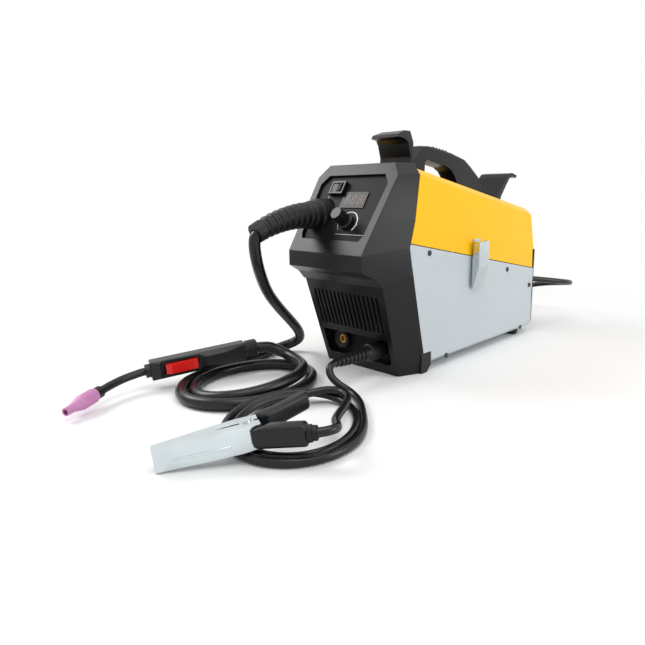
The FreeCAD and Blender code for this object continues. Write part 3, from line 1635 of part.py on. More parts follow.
def mains_plug():
    body = new_body("mains_plug_turn")
    points = [
        ("0", "0"),
        ("CordRadius + 2", "0"),
        ("CordRadius + 3", "14"),
        ("13", "22"),
        ("17.6", "27"),
        ("17.6", "45"),
        ("0", "45"),
    ]
    revolve(body, points)
    pins = []
    for side in ("-", ""):
        pin = doc.addObject("Part::Cylinder", "plug_pin")
        pin.Radius = 2.4
        pin.Height = 20
        pins.append(move(pin, "%s9.5" % side, "0", "44"))
    solid = fuse("mains_plug_solid", body, *pins)
    node(move(solid, "-140", "412", "18.6", about((1, 0, 0), 90)), "mains_plug")


# Torch


def eight_sided(half_y, half_z, cut_by):
    """An eight-sided section about the X axis."""
    return [
        ("%s - %s" % (half_y, cut_by), "-(%s)" % half_z),
        (half_y, "-(%s) + %s" % (half_z, cut_by)),
        (half_y, "%s - %s" % (half_z, cut_by)),
        ("%s - %s" % (half_y, cut_by), half_z),
        ("-(%s) + %s" % (half_y, cut_by), half_z),
        ("-(%s)" % half_y, "%s - %s" % (half_z, cut_by)),
        ("-(%s)" % half_y, "-(%s) + %s" % (half_z, cut_by)),
        ("-(%s) + %s" % (half_y, cut_by), "-(%s)" % half_z),
    ]


def torch():
    side = new_body("grip_side")
    points = [
        ("9", "-GripTall / 2 + 2"),
        ("GripLong - 82", "-GripTall / 2"),
        ("GripLong - 14", "-GripTall / 2 + 4"),
        ("GripLong - 12", "-GripTall / 2 + 2.5"),
        ("GripLong", "-GripTall / 2 + 4"),
        ("GripLong", "GripTall / 2 - 5"),
        ("GripLong - 12", "GripTall / 2 - 3"),
        ("GripLong - 14", "GripTall / 2 - 5"),
        ("GripLong - 66", "GripTall / 2 - 4"),
        ("GripLong - 74", "GripTall / 2"),
        ("GripLong - 102", "GripTall / 2"),
        ("9", "GripTall / 2 - 4"),
    ]
    pad(side, outline(side, "XY_Plane", points), "2 * GripThick")
    end = new_body("grip_end")
    pad(end, outline(end, "YZ_Plane", eight_sided("GripTall / 2", "GripThick / 2", "6")), "GripLong + 10", both=False)
    whole = common("grip_shape", side, end)
    slot = box("trigger_slot", "GripLong - 64", "1", "-7.4", "48", "20", "14.8")
    rear_hole = cylinder("grip_hole", "-5", "0", "0", "CableRadius + 0.4", "22", "X")
    pin = cylinder("trigger_pin", "GripLong - 60", "6", "-11", "1.5", "22")
    nut = new_body("torch_nut_turn")
    points = [("CableRadius + 0.4", "-10"), ("11", "-10")]
    for i in range(4):
        points.append(("13.2", "%s" % (-8 + 4 * i)))
        points.append(("13.2", "%s" % (-6 + 4 * i)))
        points.append(("12", "%s" % (-5.4 + 4 * i)))
        points.append(("12", "%s" % (-4.6 + 4 * i)))
    points.append(("12", "9.6"))
    points.append(("CableRadius + 0.4", "9.6"))
    revolve(nut, points)
    nut.Placement = Placement(Vector(), AXES["X"])
    solid = fuse("grip_solid", cut("grip_cut", whole, slot, rear_hole), pin, nut)
    node(on_torch(solid), "torch_handle")
    trigger = new_body("trigger")
    points = [
        ("GripLong - 62.8", "4"),
        ("GripLong - 19", "5"),
        ("GripLong - 19", "GripTall / 2 - 2"),
        ("GripLong - 26", "GripTall / 2 + 0.8"),
        ("GripLong - 56", "GripTall / 2 + 0.5"),
        ("GripLong - 62.8", "GripTall / 2 - 3"),
    ]
    pad(trigger, outline(trigger, "XY_Plane", points), "14")
    bore = cylinder("trigger_bore", "GripLong - 60", "6", "-20", "1.5 + RunFit", "40")
    node(on_torch(cut("trigger_cut", trigger, bore)), "torch_trigger")
    neck_points = [
        (GRIP_FRONT, 0, 0),
        (GRIP_FRONT + 12, 0, 0),
        (GRIP_FRONT + 36, 9, -0.6),
        (GRIP_FRONT + 53, 21, -1.4),
        (GRIP_FRONT + 67, 34.7, -2.2),
    ]
    radius = number("NeckRadius")
    neck, _ = tube(rounded_route(vectors(neck_points), "torch_neck", radius), radius, "torch_neck")
    neck_feature = doc.addObject("Part::Feature", "neck_tube")
    neck_feature.Shape = neck
    socket = cylinder("neck_socket", "GripLong", "0", "0", "9.5", "7", "X")
    heading = Vector(14, 13.7, -0.8).normalize()
    turn = Rotation(Vector(0, 0, 1), heading)
    place_on = ("GripLong + 67", "34.7", "-2.2")
    collar = move(cylinder("seat_collar", "0", "0", "0", "NozzleRadius - 1.6", "9"), *place_on, turn=turn)
    contact = move(cylinder("contact_tip", "0", "0", "0", "2.2", "46"), *place_on, turn=turn)
    node(on_torch(fuse("neck_solid", neck_feature, socket, collar, contact)), "torch_neck")
    cup = new_body("nozzle_turn")
    points = [
        ("NozzleBore", "9.3"),
        ("NozzleRadius - 1.2", "9.3"),
        ("NozzleRadius", "12"),
        ("NozzleRadius", "32"),
        ("NozzleRadius - 4", "46"),
        ("NozzleRadius - 4.4", "57"),
        ("NozzleRadius - 6.2", "57"),
        ("NozzleRadius - 6", "46"),
        ("NozzleBore", "33"),
    ]
    revolve(cup, points)
    node(on_torch(cup, *place_on, turn=turn), "torch_nozzle")


GRIP_FRONT = number("GripLong")


# Ground clamp


def jaw(name, way, half):
    """A channel-shaped jaw, open to the other jaw; way is 1 or -1 along Y."""
    body = new_body(name)
    outside = [
        ("-12", 5),
        ("-12", 16),
        ("10", 17),
        ("40", 14),
        ("JawLong", 7),
        ("JawLong", 0.6),
        ("58", 0.6),
        ("24", 4),
    ]
    profile = [(x, "%s" % (way * y)) for x, y in outside]
    pad(body, outline(body, "XY_Plane", profile), "2 * (%s)" % half)
    inside = [
        ("-20", -30),
        ("-20", 14),
        ("10", 15),
        ("40", 12),
        ("JawLong - 3", 5.3),
        ("JawLong - 3", -30),
    ]
    hollow = [(x, "%s" % (way * y)) for x, y in inside]
    pocket(body, outline(body, "XY_Plane", hollow), "2 * (%s - JawSheet)" % half)
    return body


def clamp():
    lower = jaw("jaw_low", 1, "ClampHalf")
    upper = jaw("jaw_up", -1, "ClampHalf - JawSheet - 0.5")
    ears = []
    for z in ("ClampHalf - JawSheet", "-ClampHalf"):
        ears.append(cylinder("low_ear", "0", "0", z, "7.5", "JawSheet"))
        ears.append(box("low_web", "-7.5", "0", z, "15", "8", "JawSheet"))
    pin = cylinder("clamp_pin", "0", "0", "-ClampHalf - 1.6", "ClampPin", "2 * ClampHalf + 3.2")
    heads = [cylinder("pin_head", "0", "0", z, "5", "1.6") for z in ("-ClampHalf - 1.6", "ClampHalf")]
    spring = cylinder("spring_tube", "0", "0", "-6.5", "5.4", "13")
    node(on_clamp(fuse("lower_jaw_solid", lower, pin, spring, *ears, *heads)), "clamp_lower_jaw")
    tabs = []
    for z in ("ClampHalf - 2 * JawSheet - 0.5", "-ClampHalf + JawSheet + 0.5"):
        tabs.append(cylinder("up_ear", "0", "0", z, "7", "JawSheet"))
        tabs.append(box("up_web", "-7", "-8", z, "14", "8", "JawSheet"))
    bore = cylinder("up_bore", "0", "0", "-ClampHalf", "ClampPin + RunFit", "2 * ClampHalf")
    node(on_clamp(cut("upper_jaw_cut", fuse("upper_jaw_solid", upper, *tabs), bore)), "clamp_upper_jaw")
    low_grip = new_body("grip_low")
    points = [
        ("2", "19"),
        ("-14", "27"),
        ("-50", "46"),
        ("-57", "31"),
        ("-22", "12"),
        ("-12.05", "8"),
        ("-12.05", "16.05"),
        ("2", "16.7"),
    ]
    pad(low_grip, outline(low_grip, "XY_Plane", points), "2 * ClampHalf")
    node(on_clamp(fuse("low_grip_solid", low_grip, clamp_gland())), "clamp_lower_grip")
    up_grip = new_body("grip_up")
    points = [
        ("2", "-19"),
        ("-24", "-29"),
        ("-36", "-33"),
        ("-64", "-49"),
        ("-76", "-48"),
        ("-76", "-38"),
        ("-40", "-18.5"),
        ("-22", "-11"),
        ("-12.05", "-8"),
        ("-12.05", "-16.05"),
        ("2", "-16.7"),
    ]
    pad(up_grip, outline(up_grip, "XY_Plane", points), "2 * (ClampHalf - 3)")
    node(on_clamp(up_grip), "clamp_upper_grip")


def clamp_gland():
    gland = new_body("gland_turn")
    points = [
        ("GroundRadius + 0.3", "-0.6"),
        ("9", "-0.6"),
        ("9", "3.5"),
        ("7.8", "4"),
        ("7.8", "6"),
        ("GroundRadius + 2.5", "9"),
        ("GroundRadius + 0.3", "9"),
    ]
    revolve(gland, points)
    turn = Rotation(Vector(0, 0, 1), Vector(-0.906, 0.423, 0))
    return move(gland, "-53.5", "38.5", "0", turn)


def build_all():
    front_housing()
    panel_plate()
    display_window()
    power_switch()
    control_knob()
    torch_outlet()
    boot()
    cables()
    socket_plate()
    sockets()
    ground_plug()
    covers()
    lower_case()
    rear_panel()
    rear_feet()
    handle_and_hooks()
    hinges()
    latch()
    compartment()
    lower_parts()
    mains_plug()
    torch()
    clamp()


def report_and_write():
    doc.recompute()
    for obj in doc.Objects:
        state = [word for word in obj.State if word in ("Invalid", "Error")]
        if state:
            raise RuntimeError("%s is %s" % (obj.Label, state))
    os.makedirs("parts", exist_ok=True)
    for obj in NODES:
        shape = obj.Shape
        if shape.isNull() or not shape.isValid():
            raise RuntimeError("%s has a bad shape" % obj.Label)
        print(obj.Label, "solids", len(shape.Solids), "faces", len(shape.Faces), "volume", round(shape.Volume))
        shape.exportStep("parts/%s.step" % obj.Label)


build_all()
report_and_write()
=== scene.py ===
import math

import bpy
from mathutils import Matrix, Vector

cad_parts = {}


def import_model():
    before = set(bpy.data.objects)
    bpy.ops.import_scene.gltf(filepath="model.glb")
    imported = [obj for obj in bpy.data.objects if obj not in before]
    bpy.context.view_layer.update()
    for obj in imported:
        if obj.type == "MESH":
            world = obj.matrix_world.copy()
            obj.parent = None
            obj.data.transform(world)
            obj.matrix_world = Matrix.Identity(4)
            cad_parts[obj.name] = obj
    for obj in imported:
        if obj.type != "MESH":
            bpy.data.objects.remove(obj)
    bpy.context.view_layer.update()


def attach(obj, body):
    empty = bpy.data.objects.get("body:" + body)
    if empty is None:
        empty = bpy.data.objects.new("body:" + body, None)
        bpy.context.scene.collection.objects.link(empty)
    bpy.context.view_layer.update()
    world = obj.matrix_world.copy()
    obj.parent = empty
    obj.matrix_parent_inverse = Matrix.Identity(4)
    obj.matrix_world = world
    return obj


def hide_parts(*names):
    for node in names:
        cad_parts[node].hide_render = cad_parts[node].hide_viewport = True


# Portable wire welder with its torch, ground clamp, cables and mains cord.
# Metres. X to the right of the front, Y to the rear, Z up.

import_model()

# The slanted face: its lower and upper edge, and how far the panel lies behind it
BROW_Y = -0.108
BROW_Z = 0.183
FACE_TOP_Y = -0.028
FACE_TOP_Z = 0.306
PANEL_OUT = -0.004
LEAN = math.atan2(FACE_TOP_Y - BROW_Y, FACE_TOP_Z - BROW_Z)

# Places on that face: across from its middle, up from its lower edge
KNOB = (0.0173, 0.0515)
SWITCH = (-0.025, 0.106)
DISPLAY = (0.0125, 0.088)

# Dial scale: where it starts, how far it turns, and its band
DIAL_START = 225
DIAL_TURN = -265
DIAL_STEPS = 40
DIAL_RADIUS = 0.0166
DIAL_THIN = 0.0004
DIAL_GROWTH = 0.0016

# Display: digits and the column of lamps beside them
DIGITS = 3
DIGIT_PITCH = 0.0115
DIGIT_WIDE = 0.0058
DIGIT_TALL = 0.0125
DIGIT_STROKE = 0.0012
LAMP_SIZE = 0.002
LAMP_PITCH = 0.005
LAMP_ACROSS = 0.0185
DISPLAY_FRONT = PANEL_OUT + 0.0014
PRINT_THICK = 0.0001

# Case side and its screws: (Y, Z) of each
HALF_WIDTH = 0.090
SIDE_SCREWS = ((0.019, 0.179), (0.256, 0.1315), (0.346, 0.093), (0.317, 0.016), (0.069, 0.015))
SCREW_RADIUS = 0.0042
SCREW_RISE = 0.0014

# Light
WORLD_STRENGTH = 0.5
WHITE = (1, 1, 1, 1)


# Materials


def new_material(name):
    material = bpy.data.materials.new(name)
    material.use_nodes = True
    nodes = material.node_tree.nodes
    shader = nodes["Principled BSDF"]
    return material, nodes, material.node_tree.links, shader


def noise(nodes, links, scale, detail=4.0, stretch=None):
    place = nodes.new("ShaderNodeTexCoord")
    texture = nodes.new("ShaderNodeTexNoise")
    texture.inputs["Scale"].default_value = scale
    texture.inputs["Detail"].default_value = detail
    source = place.outputs["Object"]
    if stretch:
        mapping = nodes.new("ShaderNodeMapping")
        mapping.inputs["Scale"].default_value = stretch
        links.new(source, mapping.inputs["Vector"])
        source = mapping.outputs["Vector"]
    links.new(source, texture.inputs["Vector"])
    return texture.outputs["Fac"]


def ramp(nodes, links, source, low, high):
    node = nodes.new("ShaderNodeValToRGB")
    start, end = node.color_ramp.elements
    start.position = 0.3
    end.position = 0.7
    start.color = (*low, 1)
    end.color = (*high, 1)
    links.new(source, node.inputs["Fac"])
    return node.outputs["Color"]


def finish(
    name,
    colour,
    rough,
    metal=0.0,
    grain=900.0,
    bump=0.05,
    vary=0.08,
    edge=0.0,
    stretch=None,
    shine=0.5,
):
    """A surface whose colour, gloss and height vary a little."""
    material, nodes, links, shader = new_material(name)
    low = tuple(c * (1 - vary) for c in colour)
    high = tuple(min(1.0, c * (1 + vary)) for c in colour)
    cloud = noise(nodes, links, 14.0, 6.0)
    links.new(ramp(nodes, links, cloud, low, high), shader.inputs["Base Color"])
    fine = noise(nodes, links, grain, 3.0, stretch)
    spread = nodes.new("ShaderNodeMapRange")
    spread.inputs["To Min"].default_value = max(0.02, rough * 0.85)
    spread.inputs["To Max"].default_value = min(1.0, rough * 1.15)
    links.new(fine, spread.inputs["Value"])
    links.new(spread.outputs["Result"], shader.inputs["Roughness"])
    height = nodes.new("ShaderNodeBump")
    height.inputs["Strength"].default_value = bump
    height.inputs["Distance"].default_value = 0.0003
    links.new(fine, height.inputs["Height"])
    if edge:
        bevel = nodes.new("ShaderNodeBevel")
        bevel.samples = 4
        bevel.inputs["Radius"].default_value = edge
        links.new(bevel.outputs["Normal"], height.inputs["Normal"])
    links.new(height.outputs["Normal"], shader.inputs["Normal"])
    shader.inputs["Metallic"].default_value = metal
    shader.inputs["Specular IOR Level"].default_value = shine
    return material


def plastics():
    """Mouldings, rubbers and cables."""
    return {
        "housing": dict(
            colour=(0.0060, 0.0064, 0.0076),
            rough=0.32, bump=0.2, grain=1400, vary=0.12, edge=0.0016, shine=0.24,
        ),
        "panel": dict(colour=(0.0085, 0.009, 0.010), rough=0.50, bump=0.12, grain=1200, shine=0.12),
        "window": dict(colour=(0.009, 0.008, 0.0075), rough=0.25, bump=0.0, shine=0.16),
        "gloss": dict(colour=(0.005, 0.005, 0.005), rough=0.22, edge=0.0006, shine=0.22),
        "knob": dict(colour=(0.0068, 0.0068, 0.0075), rough=0.34, bump=0.12, edge=0.0005, shine=0.28),
        "rubber": dict(colour=(0.0070, 0.0070, 0.0078), rough=0.44, bump=0.3, grain=700, shine=0.28),
        "cable": dict(
            colour=(0.0062, 0.0066, 0.0076),
            rough=0.28, bump=0.22, grain=420, vary=0.2, shine=0.36,
        ),
        "dark_plastic": dict(colour=(0.018, 0.018, 0.019), rough=0.46, bump=0.1, shine=0.35),
        "grip": dict(
            colour=(0.0068, 0.0072, 0.0084), rough=0.34, bump=0.22, grain=1100, edge=0.0010, shine=0.34
        ),
        "trigger": dict(colour=(0.74, 0.010, 0.007), rough=0.28, edge=0.0005, shine=0.4),
        "nozzle": dict(colour=(0.53, 0.215, 0.43), rough=0.40, bump=0.15, vary=0.06, shine=0.4),
        "white": dict(colour=(0.78, 0.78, 0.78), rough=0.5),
        "digit": dict(colour=(0.16, 0.085, 0.045), rough=0.4, bump=0.0),
        "board": dict(colour=(0.020, 0.150, 0.055), rough=0.42, vary=0.25),
    }


def paints_and_metals():
    return {
        "yellow": dict(
            colour=(0.93, 0.50, 0.0015),
            rough=0.34, bump=0.10, grain=1500, vary=0.012, edge=0.0008, shine=0.22,
        ),
        "grey": dict(
            colour=(0.50, 0.545, 0.575),
            rough=0.36, bump=0.14, grain=1500, vary=0.02, edge=0.0008, shine=0.4,
        ),
        "black_paint": dict(
            colour=(0.012, 0.012, 0.013), rough=0.42, bump=0.15, grain=1300, edge=0.0008, shine=0.35
        ),
        "screw": dict(
            colour=(0.011, 0.011, 0.012),
            rough=0.32, bump=0.1, grain=500, edge=0.0004, shine=0.4,
        ),
        "pot": dict(colour=(0.30, 0.30, 0.31), rough=0.35, metal=1.0),
        "brass": dict(colour=(0.72, 0.42, 0.13), rough=0.28, metal=1.0, grain=600),
        "zinc": dict(
            colour=(0.60, 0.655, 0.67), rough=0.24, metal=1.0, grain=350, bump=0.12, vary=0.14, edge=0.0005
        ),
        "steel": dict(colour=(0.56, 0.57, 0.58), rough=0.36, metal=1.0, grain=260, stretch=(1, 8, 1)),
        "copper": dict(colour=(0.80, 0.42, 0.22), rough=0.30, metal=1.0, stretch=(14, 1, 1), bump=0.4),
        "core": dict(
            colour=(0.26, 0.20, 0.12),
            rough=0.50, metal=0.4, grain=700, stretch=(12, 1, 1), bump=0.3,
        ),
    }


NODE_LOOKS = {
    "housing": ("front_housing", "top_spine", "carry_handle", "front_hook", "rear_hook", "cord_gland"),
    "panel": ("control_panel", "socket_plate"),
    "window": ("display_window",),
    "gloss": ("switch_body", "power_rocker"),
    "knob": ("control_knob",),
    "pot": ("dial_base",),
    "rubber": ("torch_collar", "torch_boot", "ground_plug", "cable_sockets", "rear_feet", "mains_plug"),
    "brass": ("socket_inserts",),
    "yellow": ("door_cover", "cover_left"),
    "grey": ("lower_case",),
    "black_paint": ("rear_panel",),
    "zinc": (
        "latch_bracket",
        "latch_flap",
        "spine_hinges",
        "door_hinges",
        "clamp_lower_jaw",
        "clamp_upper_jaw",
    ),
    "steel": (
        "deck",
        "feed_plate",
        "drive_roll",
        "pressure_roll",
        "pressure_arm",
        "spool_spindle",
        "heat_sink",
    ),
    "dark_plastic": ("feeder_motor", "fan_frame", "fan_rotor", "wire_spool", "tension_knob"),
    "copper": ("wire_winding",),
    "board": ("circuit_board",),
    "core": ("transformer",),
    "grip": ("torch_handle", "torch_neck", "clamp_lower_grip", "clamp_upper_grip"),
    "trigger": ("torch_trigger",),
    "nozzle": ("torch_nozzle",),
}


def make_looks():
    facts = {**plastics(), **paints_and_metals()}
    return {name: finish(name, **values) for name, values in facts.items()}


def dress_nodes():
    for look, names in NODE_LOOKS.items():
        for node in named(*names):
            for place in node.material_slots:
                place.material = looks[look]


def named(*names):
    return [bpy.data.objects[name] for name in names]


# Forms


def add_piece(name, points, faces, look, body):
    mesh = bpy.data.meshes.new(name)
    mesh.from_pydata([tuple(p) for p in points], [], faces)
    mesh.materials.append(looks[look])
    piece = bpy.data.objects.new(name, mesh)
    bpy.context.collection.objects.link(piece)
    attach(piece, body)
    return piece


def prism_faces(count, first=0):
    """Top and sides of a prism whose two rings of points follow each other."""
    faces = [tuple(first + count + i for i in range(count))]
    for i in range(count):
        j = (i + 1) % count
        faces.append((first + i, first + j, first + count + j, first + count + i))
    return faces


def circle(centre, axis, radius, count):
    side = axis.orthogonal().normalized()
    up = axis.cross(side)
    angles = [2 * math.pi * i / count for i in range(count)]
    return [centre + (side * math.cos(angle) + up * math.sin(angle)) * radius for angle in angles]


def band(count, first, second):
    """Faces between the circle of points at first and the one at second."""
    steps = [(i, (i + 1) % count) for i in range(count)]
    return [(first + i, first + j, second + j, second + i) for i, j in steps]


def screw_head(name, centre, normal, look, body):
    """A round head that narrows at the top and has a dip in the middle."""
    count = 20
    rings = (
        (SCREW_RADIUS, 0.0),
        (SCREW_RADIUS, SCREW_RISE * 0.5),
        (SCREW_RADIUS * 0.82, SCREW_RISE),
        (SCREW_RADIUS * 0.3, SCREW_RISE * 0.9),
    )
    axis = Vector(normal).normalized()
    points = []
    for radius, rise in rings:
        points += circle(Vector(centre) + axis * rise, axis, radius, count)
    faces = []
    for k in range(len(rings) - 1):
        faces += band(count, k * count, (k + 1) * count)
    last = (len(rings) - 1) * count
    faces.append(tuple(last + i for i in range(count)))
    return add_piece(name, points, faces, look, body)


def lathe(name, profile, start, heading, look, body):
    """A turned piece; profile holds (radius, place along the axis)."""
    count = 32
    axis = Vector(heading).normalized()
    points = []
    for radius, along in profile:
        points += circle(Vector(start) + axis * along, axis, radius, count)
    faces = []
    for k in range(len(profile)):
        faces += band(count, k * count, (k + 1) % len(profile) * count)
    return add_piece(name, points, faces, look, body)


# Marks on the slanted face


def face_point(across, up, out=0.0):
    """A point of the slanted face: across, up the slope, out from it."""
    y = BROW_Y + math.sin(LEAN) * up - math.cos(LEAN) * out
    z = BROW_Z + math.cos(LEAN) * up + math.sin(LEAN) * out
    return Vector((across, y, z))


def face_prisms(name, outlines, look, low, high):
    """Flat prisms on the slanted face, one for each outline of (across, up)."""
    points = []
    faces = []
    for spots in outlines:
        faces += prism_faces(len(spots), len(points))
        points += [face_point(u, s, low) for u, s in spots]
        points += [face_point(u, s, high) for u, s in spots]
    return add_piece(name, points, faces, look, "machine")


def bar(across, up, wide, tall):
    left, right = across - wide / 2, across + wide / 2
    foot, top = up - tall / 2, up + tall / 2
    return [(left, foot), (right, foot), (right, top), (left, top)]


def ring_part(centre, inner, outer, start, end, steps):
    """Bars that make a part of a ring, angles in degrees from the right."""
    bars = []
    for i in range(steps):
        a = math.radians(start + (end - start) * i / steps)
        b = math.radians(start + (end - start) * (i + 1) / steps)
        corners = ((inner, a), (outer, a), (outer, b), (inner, b))
        bars.append([(centre[0] + r * math.cos(t), centre[1] + r * math.sin(t)) for r, t in corners])
    return bars


def digit_eight(across, up):
    """The seven bars of a display digit that leans a little."""
    half_w, half_t = DIGIT_WIDE / 2, DIGIT_TALL / 2
    gap = 1.6 * DIGIT_STROKE
    bars = []
    for level in (-1, 0, 1):
        bars.append(bar(across, up + level * half_t, DIGIT_WIDE - gap, DIGIT_STROKE))
    for side in (-1, 1):
        for level in (-1, 1):
            bars.append(bar(across + side * half_w, up + level * half_t / 2, DIGIT_STROKE, half_t - gap))
    return [[(u + 0.1 * (s - up), s) for u, s in one] for one in bars]


def display_marks():
    low, high = DISPLAY_FRONT - PRINT_THICK, DISPLAY_FRONT + 2 * PRINT_THICK
    digits = []
    for i in range(DIGITS):
        digits += digit_eight(DISPLAY[0] + DIGIT_PITCH * (i - 1), DISPLAY[1])
    face_prisms("display_digits", digits, "digit", low, high)
    lamps = []
    for i in range(3):
        lamps.append(bar(DISPLAY[0] + LAMP_ACROSS, DISPLAY[1] + LAMP_PITCH * (i - 1), LAMP_SIZE, LAMP_SIZE))
    face_prisms("display_lamps", lamps, "digit", low, high)


def panel_marks():
    low, high = PANEL_OUT - PRINT_THICK, PANEL_OUT + PRINT_THICK
    scale = []
    for i in range(DIAL_STEPS):
        start = DIAL_START + DIAL_TURN * i / DIAL_STEPS
        outer = DIAL_RADIUS + DIAL_THIN + DIAL_GROWTH * i / DIAL_STEPS
        scale += ring_part(KNOB, DIAL_RADIUS, outer, start, start + DIAL_TURN / DIAL_STEPS, 1)
    scale.append(bar(0.0295, 0.0330, 0.053, 0.0006))
    scale.append(bar(0.0356, 0.0488, 0.0026, 0.0026))
    face_prisms("panel_scale", scale, "white", low, high)
    across, up = 0.017, SWITCH[1] - 0.013
    marks = [bar(SWITCH[0] - across, up, 0.0006, 0.003)]
    marks += ring_part((SWITCH[0] + across, up), 0.0010, 0.0016, 0, 360, 16)
    face_prisms("switch_marks", marks, "white", low, high)


def side_screws():
    for side, word in ((1, "right"), (-1, "left")):
        for i, (y, z) in enumerate(SIDE_SCREWS):
            name = "side_screw_%s_%d" % (word, i)
            screw_head(name, (side * HALF_WIDTH, y, z), (side, 0, 0), "screw", "machine")


# Clamp, in its own frame: X to the jaw tips, Z along the pivot, millimetres

CLAMP = (
    Matrix.Translation((0.116, -0.328, 0.026))
    @ Matrix.Rotation(math.radians(-117), 4, "Z")
    @ Matrix.Rotation(math.radians(7.5), 4, "Y")
)
NEAR_GRIP = [(2, 19), (-14, 27), (-50, 46), (-57, 31), (-22, 12), (-12.5, 16.3)]
NEAR_GRIP_HALF = 12
NEAR_GRIP_ROUNDING = 5.0
FAR_GRIP = [
    (2, -19),
    (-24, -29),
    (-36, -33),
    (-64, -49),
    (-76, -48),
    (-76, -38),
    (-40, -18.5),
    (-22, -11),
    (-12.5, -16.3),
]
FAR_GRIP_HALF = 10
FAR_GRIP_ROUNDING = 4.8
JAW_RIB = [(20, 15.0), (40, 13.0), (76, 8.2), (76, 10.0), (40, 14.9), (20, 17.0)]
GLAND_START = (-53.5, 38.5, 0)
GLAND_HEADING = (-0.906, 0.423, 0)
GLAND = [(5.3, -0.6), (9, -0.6), (9, 3.5), (7.8, 4), (7.8, 6), (7.5, 9), (5.3, 9)]


def rounded_prism(name, outline, low, high, rounding, look, body):
    """A prism with rounded edges in the clamp's frame, all in millimetres."""
    points = [CLAMP @ (Vector((x, y, z)) / 1000) for z in (low, high) for x, y in outline]
    faces = [tuple(reversed(range(len(outline))))] + prism_faces(len(outline))
    piece = add_piece(name, points, faces, look, body)
    bevel = piece.modifiers.new("rounding", "BEVEL")
    bevel.width = rounding / 1000
    bevel.segments = 5
    bevel.limit_method = "ANGLE"
    bevel.angle_limit = math.radians(35)
    for face in piece.data.polygons:
        face.use_smooth = True
    return piece


def grip(name, outline, half, rounding, body):
    return rounded_prism(name, outline, -half, half, rounding, "grip", body)


def clamp_pieces():
    near = grip("near_grip", NEAR_GRIP, NEAR_GRIP_HALF, NEAR_GRIP_ROUNDING, "machine")
    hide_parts("clamp_lower_grip")
    start = CLAMP @ (Vector(GLAND_START) / 1000)
    heading = CLAMP.to_3x3() @ Vector(GLAND_HEADING)
    profile = [(radius / 1000, along / 1000) for radius, along in GLAND]
    lathe("clamp_gland", profile, start, heading, "rubber", "machine")
    far = grip("far_grip", FAR_GRIP, FAR_GRIP_HALF, FAR_GRIP_ROUNDING, "clamp_upper")
    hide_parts("clamp_upper_grip")
    rounded_prism("jaw_rib", JAW_RIB, -4.5, -1.5, 0.8, "zinc", "machine")


# Cords

TORCH_DROP = [
    (-0.0426, -0.1726, 0.2202),
    (-0.043, -0.190, 0.212),
    (-0.045, -0.191, 0.196),
    (-0.050, -0.184, 0.174),
    (-0.062, -0.169, 0.152),
    (-0.079, -0.145, 0.123),
    (-0.095, -0.111, 0.093),
    (-0.109, -0.077, 0.066),
    (-0.119, -0.051, 0.043),
    (-0.130, -0.038, 0.025),
    (-0.147, -0.043, 0.014),
    (-0.153, -0.070, 0.010),
    (-0.149, -0.105, 0.0082),
    (-0.140, -0.150, 0.0082),
    (-0.136, -0.176, 0.0082),
]
TORCH_TAIL = [
    (-0.066, -0.1179, 0.0252),
    (-0.082, -0.1255, 0.032),
    (-0.0936, -0.1409, 0.0406),
    (-0.10697, -0.1792, 0.03719),
]
GROUND_LEAD = [
    (0.042, -0.1274, 0.0375),
    (0.042, -0.1395, 0.0375),
    (0.049, -0.146, 0.027),
    (0.061, -0.143, 0.0165),
    (0.077, -0.137, 0.009),
    (0.097, -0.143, 0.0053),
    (0.1198, -0.15995, 0.0052),
]
CLAMP_LEAD = [
    (0.0532, -0.1974, 0.014),
    (0.0608, -0.183, 0.0164),
    (0.071, -0.1695, 0.0183),
    (0.085, -0.1615, 0.0176),
    (0.102, -0.1664, 0.0168),
    (0.116, -0.183, 0.0171),
    (0.129, -0.203, 0.0185),
    (0.144, -0.226, 0.022),
    (0.160, -0.247, 0.0265),
    (0.176, -0.261, 0.031),
    (0.1885, -0.272, 0.034),
    (0.1854, -0.2897, 0.0346),
    (0.1747, -0.298, 0.03304),
]
MAINS_LEAD = [
    (0.058, 0.364, 0.098),
    (0.058, 0.388, 0.098),
    (0.067, 0.406, 0.0955),
    (0.083, 0.430, 0.092),
    (0.098, 0.456, 0.088),
    (0.106, 0.484, 0.0835),
    (0.104, 0.508, 0.0795),
    (0.092, 0.527, 0.0755),
    (0.070, 0.541, 0.0715),
    (0.042, 0.550, 0.067),
    (0.012, 0.556, 0.061),
    (-0.018, 0.560, 0.053),
    (-0.050, 0.562, 0.042),
    (-0.082, 0.560, 0.031),
    (-0.112, 0.552, 0.0205),
    (-0.132, 0.536, 0.011),
    (-0.138, 0.516, 0.0057),
    (-0.132, 0.499, 0.0057),
]
MAINS_TAIL = [
    (-0.132, 0.464, 0.0179),
    (-0.136, 0.446, 0.0183),
    (-0.140, 0.428, 0.0186),
    (-0.140, 0.412, 0.0186),
]
GROUND_TILT = math.atan2(0.69, 0.72)

# Points for each turn, and the share of its control points that such a curve reaches
TURN_POINTS = 12
CURVE_REACH = 0.966


